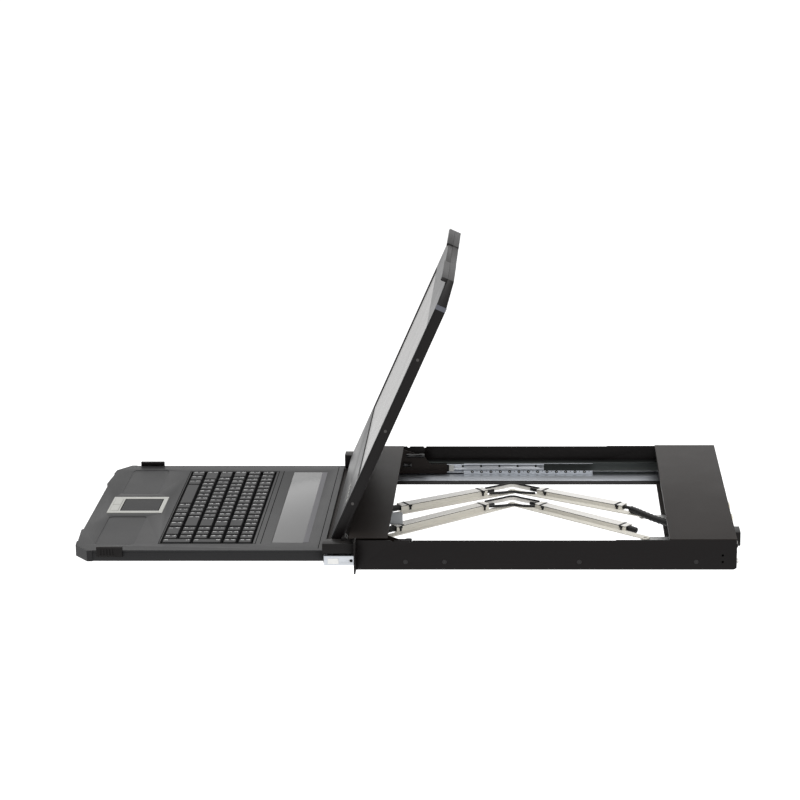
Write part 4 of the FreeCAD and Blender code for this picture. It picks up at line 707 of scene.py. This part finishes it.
def add_digit(bm, digit, x, y, z):
    """The lit strokes of a digit as flat faces round a middle point, in millimetres."""
    for index in LIT[digit]:
        right, up, upright = STROKES[int(index)]
        long = LEGEND_HALF_HEIGHT if upright else LEGEND_HALF_WIDTH * 2
        size = (STROKE, long + STROKE, 1) if upright else (long + STROKE, STROKE, 1)
        middle = (x + right * LEGEND_HALF_WIDTH, y + up * LEGEND_HALF_HEIGHT, z)
        shape = Matrix.Diagonal((size[0] * MM, size[1] * MM, 1, 1))
        place = Matrix.Translation(Vector(middle) * MM) @ shape
        bmesh.ops.create_grid(bm, x_segments=1, y_segments=1, size=0.5, matrix=place)


counted = 0
for node in keys:
    if node == "space_bar":
        continue
    bm = bmesh.new()
    for x, y, half_x, half_y, top in cap_tops(node):
        left = x - half_x + LEGEND_FROM_LEFT
        for corner in (1, -1):
            digit = (counted * DIGIT_STEP + (corner > 0)) % 10
            add_digit(bm, digit, left, y + corner * (half_y - LEGEND_FROM_EDGE), top + PRINT_LIFT)
        counted += 1
    new_piece(node + "_legends", bm, legend_white, body_of[node], smooth=False)
print("key caps with legends:", counted)

# %% [markdown]
# Each folding arm is a flat bar with a square duct along it for the cables. The duct
# has a pale snap-on lid, with a thin black strip under its edge as its painted shadow, and
# black ties hold it near both ends. All of these are drawn along a straight link that starts
# at its own pivot, and a matrix then turns the link onto its two pivots.

# %% Lids, painted shadow lines and ties of the cable arms
REAR_Y, MIDDLE_Y, FRONT_Y = 385.0, 202.5, 20.0
# x of an arm's end pivots, x of its middle joint, and the height of its bar's underside
arms = {
    "far": {"x": 46.0, "reach": -70.0, "level": -6.3},
    "near": {"x": 106.0, "reach": -46.0, "level": -18.2},
}
DUCT_LEFT, DUCT_RIGHT, DUCT_TOP, DUCT_END = -19.0, -5.0, 8.7, 38.0
LID_OVERLAP, LID_FOOT, LID_TOP = 0.3, 0.1, 0.8
# sizes of the black strip painted as the shadow under the lid's edge
LID_SHADOW_IN, LID_SHADOW_OUT, LID_SHADOW_DEPTH = 0.1, 0.12, 0.6
TIE_HALF, TIE_BAND, TIE_GAP = 1.5, 0.8, 0.2
TIE_HEAD_HALF, TIE_HEAD_THICK, TIE_HEAD_TALL = 2.4, 1.4, 2.6
TIE_FROM_START, NEAR_FRONT_TIE, TIE_FROM_END = 14, 6, 8
lid_white = grained("duct_lid", (0.88, 0.86, 0.82), 0.35, 1500, 0.00001, 0.05, 0.02)
# near-black both for the real dark joints between mouldings and for painted shade: the shadow line under
# each duct lid, the shadow behind the cage balls, and the shade in the cage windows and dimples
joint_and_shade_black = grained("joints_and_painted_shade", (0.002, 0.002, 0.002), 0.9, 1500, 0.00001, specular=0.0)


def link_frame(start, end):
    """Stands a link drawn along +Y from the origin on its two pivots."""
    way = Vector((end[0] - start[0], end[1] - start[1]))
    turn = math.atan2(-way.x, way.y)
    pivot = Vector((start[0], start[1], 0)) * MM
    return Matrix.Translation(pivot) @ Matrix.Rotation(turn, 4, "Z"), way.length


def add_tie(bm, y, level):
    """A cable tie held under the lid: a band on each side of the duct, with its head."""
    top = level + DUCT_TOP - TIE_GAP
    for x0, x1 in ((DUCT_RIGHT, DUCT_RIGHT + TIE_BAND), (DUCT_LEFT - TIE_BAND, DUCT_LEFT)):
        add_block(bm, (x0, y - TIE_HALF, level + TIE_GAP), (x1, y + TIE_HALF, top))
    add_block(bm, (DUCT_RIGHT, y - TIE_HEAD_HALF, top - TIE_HEAD_TALL),
              (DUCT_RIGHT + TIE_HEAD_THICK, y + TIE_HEAD_HALF, top))


def dress_link(body, start, end, level, first_tie):
    """The lid, the painted shadow line under its edge and the two ties of one link."""
    place, length = link_frame(start, end)
    top = level + DUCT_TOP
    blocks(f"{body}_lid",
           [((DUCT_LEFT - LID_OVERLAP, DUCT_END, top + LID_FOOT),
             (DUCT_RIGHT + LID_OVERLAP, length - DUCT_END, top + LID_TOP))],
           lid_white, body, place)
    # a thin black strip under the lid's edge: its painted shadow
    blocks(f"{body}_lid_shadow_line",
           [((DUCT_RIGHT - LID_SHADOW_IN, DUCT_END, top - LID_SHADOW_DEPTH),
             (DUCT_RIGHT + LID_SHADOW_OUT, length - DUCT_END, top + LID_FOOT))],
           joint_and_shade_black, body, place, 0.03)
    bm = bmesh.new()
    for y in (DUCT_END + first_tie, length - DUCT_END - TIE_FROM_END):
        add_tie(bm, y, level)
    bmesh.ops.transform(bm, matrix=place, verts=bm.verts)
    new_piece(f"{body}_ties", bm, finishes["cable_rubber"], body, smooth=False)


print("a duct lid is", DUCT_RIGHT - DUCT_LEFT + 2 * LID_OVERLAP, "mm wide")

# %% [markdown]
# Over the arm's middle joint its cables pass as one soft bend: a pale flat sleeve, a
# dark edge above it and a cable inside the turn. Each is a Bezier curve with a round
# or flat section.

# %% Curves made into meshes
CURVE_STEPS = 8


def mesh_of(curve):
    """The mesh that a curve draws, with the curve's name."""
    carrier = bpy.data.objects.new(curve.name, curve)
    bpy.context.scene.collection.objects.link(carrier)
    bpy.context.view_layer.update()
    drawn = carrier.evaluated_get(bpy.context.evaluated_depsgraph_get())
    mesh = bpy.data.meshes.new_from_object(drawn)
    bpy.data.objects.remove(carrier)
    mesh.name = curve.name
    return mesh


def tube(name, points, radius, material, flat=0.0, lift=0.0):
    """A round tube, or a flat strip of a given half height, along a smooth curve."""
    curve = bpy.data.curves.new(name, "CURVE")
    curve.dimensions = "3D" if flat == 0 else "2D"
    line = curve.splines.new("BEZIER")
    line.bezier_points.add(len(points) - 1)
    for knot, point in zip(line.bezier_points, points):
        knot.co = [c * MM for c in point]
        knot.handle_left_type = knot.handle_right_type = "AUTO"
    line.resolution_u = CURVE_STEPS
    curve.bevel_depth = radius * MM
    curve.bevel_resolution = 2
    curve.extrude = flat * MM
    curve.fill_mode = "FULL" if flat == 0 else "NONE"
    curve.use_fill_caps = flat == 0
    mesh = mesh_of(curve)
    for polygon in mesh.polygons:
        polygon.use_smooth = True
    mesh.transform(Matrix.Translation((0, 0, lift * MM)))
    piece = bpy.data.objects.new(name, mesh)
    bpy.context.scene.collection.objects.link(piece)
    set_material(piece, material)
    return piece


print("steps in each stretch of a curve:", CURVE_STEPS)

# %% [markdown]
# A bend is the same on both sides of the middle joint, so only its front half is
# given. The near arm's front tie sits closer to its pivot than the others.

# %% Dress the cable arms
SLEEVE_RADIUS, SLEEVE_HALF, SLEEVE_LIFT = 0.7, 2.4, 6.4
EDGE_RADIUS, EDGE_LIFT = 1.4, 9.6
CABLE_RADIUS, CABLE_LIFT = 2.0, 4.4
BEND_SIDE, BEND_REACH, BEND_APEX, BLEND_INSET = 10.3, 38.5, 14.0, 14


def round_the_joint(half, apex_x):
    """Half a bend's points, its apex, and the same half beyond the middle joint."""
    beyond = [(x, 2 * MIDDLE_Y - y) for x, y in reversed(half)]
    return half + [(apex_x, MIDDLE_Y)] + beyond


for arm, size in arms.items():
    level, reach = size["level"], size["reach"]
    middle = (reach, MIDDLE_Y)
    first_tie = NEAR_FRONT_TIE if arm == "near" else TIE_FROM_START
    dress_link(f"{arm}_front", (size["x"], FRONT_Y), middle, level, first_tie)
    dress_link(f"{arm}_rear", middle, (size["x"], REAR_Y), level, TIE_FROM_START)
    end_x, end_y = reach + BEND_SIDE, MIDDLE_Y - BEND_REACH
    apex = reach - BEND_APEX
    outer = round_the_joint([(end_x, end_y), (apex + 9, MIDDLE_Y - 15)], apex)
    inner = round_the_joint([(end_x + 7, end_y + 6), (reach + 14, MIDDLE_Y - 12)], reach + 10)
    edge = [(x, y, level + EDGE_LIFT) for x, y in outer]
    cable = [(x, y, level + CABLE_LIFT) for x, y in inner]
    loops = [
        tube(f"{arm}_loop_sleeve", [(*p, 0) for p in outer], SLEEVE_RADIUS, lid_white,
             flat=SLEEVE_HALF, lift=level + SLEEVE_LIFT),
        tube(f"{arm}_loop_edge", edge, EDGE_RADIUS, finishes["cable_rubber"]),
        tube(f"{arm}_loop_cable", cable, CABLE_RADIUS, finishes["cable_rubber"]),
    ]
    for loop in loops:
        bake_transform(loop)
print("cable arms dressed:", list(arms))

# %% [markdown]
# The slides are three nested steel channels that run on balls in a cage strip. Each
# ball shows in a window ringed by a dark rim of painted shade, and between two windows
# the strip has a small dimple whose shade is painted as a dark spot. Behind the balls a black sheet is their
# painted shadow. Rims and dimples are flat shapes laid on the strip, drawn as a unit circle that is turned
# upright and stretched.

# %% Windows, balls and dimples of the cages
CAGE_FACE, CAGE_START, CAGE_LENGTH, WINDOW_PITCH = 203.5, 130.0, 190.0, 13.8
WINDOW_LOW, WINDOW_HIGH = -17.1, -14.1
SHADOW_IN, SHADOW_OUT, SHADOW_OVER, SHADOW_FROM_END = 0.1, 0.4, 0.4, 4
BALL_RADIUS, BALL_BACK = 0.9, 0.2
FLAT_PROUD, RIM_HOLE = 0.62, 0.58
RIM_HALF_LENGTH, RIM_HALF_HEIGHT = 2.3, 1.9
DIMPLE_HALF_LENGTH, DIMPLE_HALF_HEIGHT, DIMPLE_RISE = 0.7, 0.6, 0.12
count = int(CAGE_LENGTH / WINDOW_PITCH)
first = CAGE_START + (CAGE_LENGTH - (count - 1) * WINDOW_PITCH) / 2
window_middle = (WINDOW_LOW + WINDOW_HIGH) / 2


def flat_oval(bm, middle, half_length, half_height, side, hole):
    """A flat upright oval that faces a side. With a hole share it is a rim, otherwise full."""
    flat = Matrix.Translation(Vector(middle) * MM)
    grow = Matrix.Diagonal((1, half_length * MM, half_height * MM, 1))
    upright = Matrix.Rotation(side * -math.pi / 2, 4, "Y")
    ring = bmesh.ops.create_circle(bm, cap_ends=not hole, segments=16, radius=1,
                                   matrix=flat @ grow @ upright)["verts"]
    if hole:
        rim = list({edge for vert in ring for edge in vert.link_edges})
        inner = bmesh.ops.extrude_edge_only(bm, edges=rim)["geom"]
        verts = [v for v in inner if isinstance(v, bmesh.types.BMVert)]
        bmesh.ops.scale(bm, vec=(1, hole, hole), verts=verts, space=flat.inverted())


def dress_cage(side, letter):
    """The painted shadow, the balls, and the painted shade of the rims and dimples of one cage strip."""
    body = f"cage_{letter}"
    near, far = sorted((side * (CAGE_FACE + SHADOW_IN), side * (CAGE_FACE + SHADOW_OUT)))
    shadow_end = CAGE_START + CAGE_LENGTH - SHADOW_FROM_END
    # a black sheet behind the balls: their painted shadow
    blocks(f"cage_shadow_{letter}",
           [((near, CAGE_START + SHADOW_FROM_END, WINDOW_LOW - SHADOW_OVER),
             (far, shadow_end, WINDOW_HIGH + SHADOW_OVER))],
           joint_and_shade_black, body, width=0.05)
    bm = bmesh.new()
    for index in range(count):
        place = (side * (CAGE_FACE - BALL_BACK), first + index * WINDOW_PITCH, window_middle)
        bmesh.ops.create_icosphere(bm, subdivisions=2, radius=BALL_RADIUS * MM,
                                   matrix=Matrix.Translation(Vector(place) * MM))
    new_piece(f"cage_balls_{letter}", bm, finishes["screw_steel"], body)
    bm = bmesh.new()
    # dark rims round the windows and dark dimples: painted shade
    face, half_pitch = side * (CAGE_FACE - FLAT_PROUD), WINDOW_PITCH / 2
    for index in range(count):
        y = first + index * WINDOW_PITCH
        flat_oval(bm, (face, y, window_middle), RIM_HALF_LENGTH, RIM_HALF_HEIGHT, side, RIM_HOLE)
        flat_oval(bm, (face, y + half_pitch, window_middle + half_pitch * DIMPLE_RISE),
                  DIMPLE_HALF_LENGTH, DIMPLE_HALF_HEIGHT, side, 0)
    new_piece(f"cage_shade_rings_{letter}", bm, joint_and_shade_black, body, smooth=False)


print("balls in both cages:", 2 * count)

# %% [markdown]
# Inside each middle rail five dark screw heads cover the holes in its web, and the
# outside of its front end has a bright pressed plate. Heads this flat are thin discs.

# %% Screws and pressed plates of the middle rails
MID_WEB, MID_MIDDLE, MID_LAST, MID_PITCH, MID_SCREWS = 216.0, -10.75, 236.0, 27.0, 5
SCREW_RADIUS, SCREW_DEPTH = 1.8, 0.1
PRESS_IN, PRESS_OUT = 217.1, 217.5
PRESS_FRONT, PRESS_END, PRESS_LOW, PRESS_HIGH = -38.0, -23.5, -15.2, -7.6


def dress_mid_rail(side, letter):
    body = f"mid_rail_{letter}"
    bm = bmesh.new()
    turn = Matrix.Rotation(side * math.pi / 2, 4, "Y")
    for index in range(MID_SCREWS):
        place = Matrix.Translation(Vector((side * MID_WEB, MID_LAST - index * MID_PITCH, MID_MIDDLE)) * MM)
        bmesh.ops.create_cone(bm, cap_ends=True, segments=16, radius1=SCREW_RADIUS * MM,
                              radius2=SCREW_RADIUS * MM, depth=SCREW_DEPTH * MM, matrix=place @ turn)
    new_piece(f"mid_rail_screws_{letter}", bm, painted_screw, body)
    low, high = sorted((side * PRESS_IN, side * PRESS_OUT))
    blocks(f"mid_rail_press_{letter}", [((low, PRESS_FRONT, PRESS_LOW), (high, PRESS_END, PRESS_HIGH))],
           finishes["zinc_bar"], body)


for side, letter in ((1, "r"), (-1, "l")):
    dress_cage(side, letter)
    dress_mid_rail(side, letter)
print("slides dressed, with screws:", 2 * MID_SCREWS)

# %% [markdown]
# Corrugated black sleeves hold the cables where they leave the ducts. A sleeve is a
# tube along a smooth path whose radius swells and shrinks from ring to ring. The one
# behind the far arm stands for the CAD's plain bundle of cables.

# %% Corrugated sleeves
NARROW_RING = 0.86
RINGS = 6
DUCT_MIDDLE = 5


def smooth_path(points, steps):
    """Points along a smooth curve through the given ones (Catmull-Rom)."""
    spots = [Vector(p) for p in points]
    spots = [2 * spots[0] - spots[1]] + spots + [2 * spots[-1] - spots[-2]]
    path = []
    for a, b, c, d in zip(spots, spots[1:], spots[2:], spots[3:]):
        for step in range(steps):
            t = step / steps
            path.append(0.5 * (2 * b + (c - a) * t + (2 * a - 5 * b + 4 * c - d) * t * t
                               + (3 * b - a - 3 * c + d) * t ** 3))
    return path + [spots[-2]]


def sleeve(name, points, radius, body, stands_for=None):
    """A corrugated tube through the points, which may stand for a CAD node."""
    curve = bpy.data.curves.new(name, "CURVE")
    curve.dimensions = "3D"
    path = smooth_path(points, RINGS)
    line = curve.splines.new("POLY")
    line.points.add(len(path) - 1)
    for index, (knot, point) in enumerate(zip(line.points, path)):
        knot.co = (*(point * MM), 1)
        knot.radius = 1.0 if index % 2 else NARROW_RING
    curve.bevel_depth = radius * MM
    curve.bevel_resolution = 3
    curve.use_fill_caps = True
    mesh = mesh_of(curve)
    mesh.materials.clear()
    mesh.materials.append(finishes["cable_rubber"])
    piece = bpy.data.objects.new(name, mesh)
    bpy.context.scene.collection.objects.link(piece)
    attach(piece, body)
    if stands_for:
        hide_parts(stands_for)


def on_link(place, points):
    """Points given in a link's own frame, in millimetres, where the link stands."""
    return [place @ (Vector(p) * MM) / MM for p in points]


sleeve("rear_bundle",
       [(35, 367, 2.5), (46, 378, 1.5), (58, 392, -1), (70, 408, -3.5), (82, 424, -4.5), (93, 446, -5)],
       5.0, "housing", "rear_cables")
for arm, size in arms.items():
    duct_middle = size["level"] + DUCT_MIDDLE
    place, length = link_frame((size["x"], FRONT_Y), (size["reach"], MIDDLE_Y))
    front = on_link(place, [(-12, 40, duct_middle), (-12, 32, duct_middle), (-11, 22, duct_middle)])
    sleeve(f"{arm}_front_sleeve", front, 4.6, f"{arm}_front")
near = arms["near"]
duct_middle = near["level"] + DUCT_MIDDLE
place, length = link_frame((near["reach"], MIDDLE_Y), (near["x"], REAR_Y))
rear = on_link(place, [(-12, length - 40, duct_middle), (-12, length - 32, duct_middle),
                       (-12.5, length - 25, near["level"] + 4.2)])
sleeve("near_rear_sleeve", rear, 4.4, "near_rear")
print("sleeves:", len(arms) + 2)

# %% [markdown]
# Between the arms' front pivots stands a small zinc plate: an upright sheet with its
# top folded over, so two blocks are enough.

# %% Cable plate
PLATE_OUT, PLATE_IN, PLATE_FRONT, PLATE_REAR = 70.6, 69.4, 36.0, 53.5
PLATE_FOOT, PLATE_FOLD, PLATE_TOP, FOLD_END, FOLD_REAR = -8.4, 8.0, 9.0, 62.0, 40.0
plate_zinc = metal("cable_plate_zinc", (0.26, 0.27, 0.28), 0.45, ALONG_Y, 0.00002)
blocks("cable_plate",
       [((PLATE_IN, PLATE_FRONT, PLATE_FOOT), (PLATE_OUT, PLATE_REAR, PLATE_TOP)),
        ((FOLD_END, PLATE_FRONT, PLATE_FOLD), (PLATE_OUT, FOLD_REAR, PLATE_TOP))],
       plate_zinc, "drawer", width=0.3)
print("cable plate:", PLATE_REAR - PLATE_FRONT, "mm long")

# %% [markdown]
# The tray's top is assembled from several mouldings, so thin dark joints cross it:
# round the keyboard's well, once more behind it, and before the hinge. They are flat
# strips a few hundredths of a millimetre proud. Others run round the touch surface
# and along both sides of the rear cover, and a wide grey one edges the window.

# %% Joints between the mouldings
TRAY_Z, JOINT, STRIP_SUNK, STRIP_PROUD = -3.8, 0.45, 0.3, 0.05
BACK_OF_KEYS, FRONT_OF_KEYS, HALF_WELL = -138.5, -268.0, 166.5
BEHIND_WELL, BEFORE_HINGE, HALF_JOINT = 7, -53.0, 187.0
BAND_Y, HALF_BAND, BAND_WIDTH = -71.5, 158.0, 3.6
PAD_JOINT = 1.1
COVER_SIDE, COVER_FRONT, COVER_REAR, COVER_Z, COVER_JOINT = 219.4, 413, 499, 20.27, 0.5


def strips(name, lines, z, material, body, half=JOINT):
    """Flat strips along lines given as (x0, y0, x1, y1), all running along X or Y."""
    boxes = []
    for x0, y0, x1, y1 in lines:
        low = (min(x0, x1) - half, min(y0, y1) - half, z - STRIP_SUNK)
        boxes.append((low, (max(x0, x1) + half, max(y0, y1) + half, z + STRIP_PROUD)))
    blocks(name, boxes, material, body, width=0.02)


def across(y, half):
    return (-half, y, half, y)


def along(x):
    return (x, FRONT_OF_KEYS, x, BACK_OF_KEYS)


strips("tray_joints",
       [across(BACK_OF_KEYS, HALF_WELL), across(FRONT_OF_KEYS, HALF_WELL),
        across(BEFORE_HINGE, HALF_JOINT), across(BACK_OF_KEYS + BEHIND_WELL, HALF_WELL),
        along(-HALF_WELL), along(HALF_WELL)],
       TRAY_Z, joint_and_shade_black, "drawer")
band_grey = grained("window_band", (0.050, 0.048, 0.058), 0.35, 1500, 0.00002, specular=0.35)
strips("window_band", [across(BAND_Y, HALF_BAND)], TRAY_Z, band_grey, "drawer", BAND_WIDTH)
pad_low, pad_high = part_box("touchpad")
x0, x1, y0, y1 = (value / MM for value in (pad_low[0], pad_high[0], pad_low[1], pad_high[1]))
strips("touchpad_joint", [(x0, y0, x1, y0), (x0, y1, x1, y1), (x0, y0, x0, y1), (x1, y0, x1, y1)],
       pad_high[2] / MM, joint_and_shade_black, "drawer", PAD_JOINT)
cover_lines = [(side * COVER_SIDE, COVER_FRONT, side * COVER_SIDE, COVER_REAR) for side in (1, -1)]
strips("cover_joints", cover_lines, COVER_Z, joint_and_shade_black, "housing", COVER_JOINT)
print("joints drawn, the tray's", 2 * JOINT, "mm wide")

# %% [markdown]
# Each side arm of the deck carries a black thumb knob with ends wider than its waist
# and, lower down, a shorter button. Each is a profile spun round its own axis, given
# as shares of its length and radius. The profile's second half mirrors the first.

# %% Thumb knobs on the deck
KNOB_X = 197.5
KNOB_PLACE, KNOB_LENGTH, KNOB_RADIUS, KNOB_WAIST = (58.8, 10.7), 27.0, 3.1, 0.75
BUTTON_PLACE, BUTTON_LENGTH, BUTTON_RADIUS, BUTTON_WAIST = (47.0, -3.5), 13.0, 3.2, 0.8
knob_black = grained("knob_black", (0.006, 0.006, 0.007), 0.26, 900, 0.00001, specular=0.3)


def knob(name, centre, length, radius, waist):
    half = [(0.0, 0.3), (0.0, 0.85), (0.08, 1.0), (0.22, 1.0), (0.34, waist)]
    profile = half + [(1 - share, width) for share, width in reversed(half)]
    bm = bmesh.new()
    ring = [bm.verts.new((0, (share - 0.5) * length * MM, width * radius * MM)) for share, width in profile]
    edges = [bm.edges.new(pair) for pair in zip(ring, ring[1:])]
    bmesh.ops.spin(bm, geom=ring + edges, cent=(0, 0, 0), axis=(0, 1, 0), angle=2 * math.pi,
                   steps=24, use_merge=True)
    bmesh.ops.holes_fill(bm, edges=[e for e in bm.edges if e.is_boundary], sides=0)
    bmesh.ops.recalc_face_normals(bm, faces=bm.faces)
    bmesh.ops.translate(bm, verts=bm.verts, vec=Vector(centre) * MM)
    new_piece(name, bm, knob_black, "drawer")


for side, letter in ((1, "r"), (-1, "l")):
    knob(f"deck_knob_{letter}", (side * KNOB_X, *KNOB_PLACE), KNOB_LENGTH, KNOB_RADIUS, KNOB_WAIST)
    knob(f"deck_button_{letter}", (side * KNOB_X, *BUTTON_PLACE), BUTTON_LENGTH, BUTTON_RADIUS,
         BUTTON_WAIST)
print("knobs: 4")
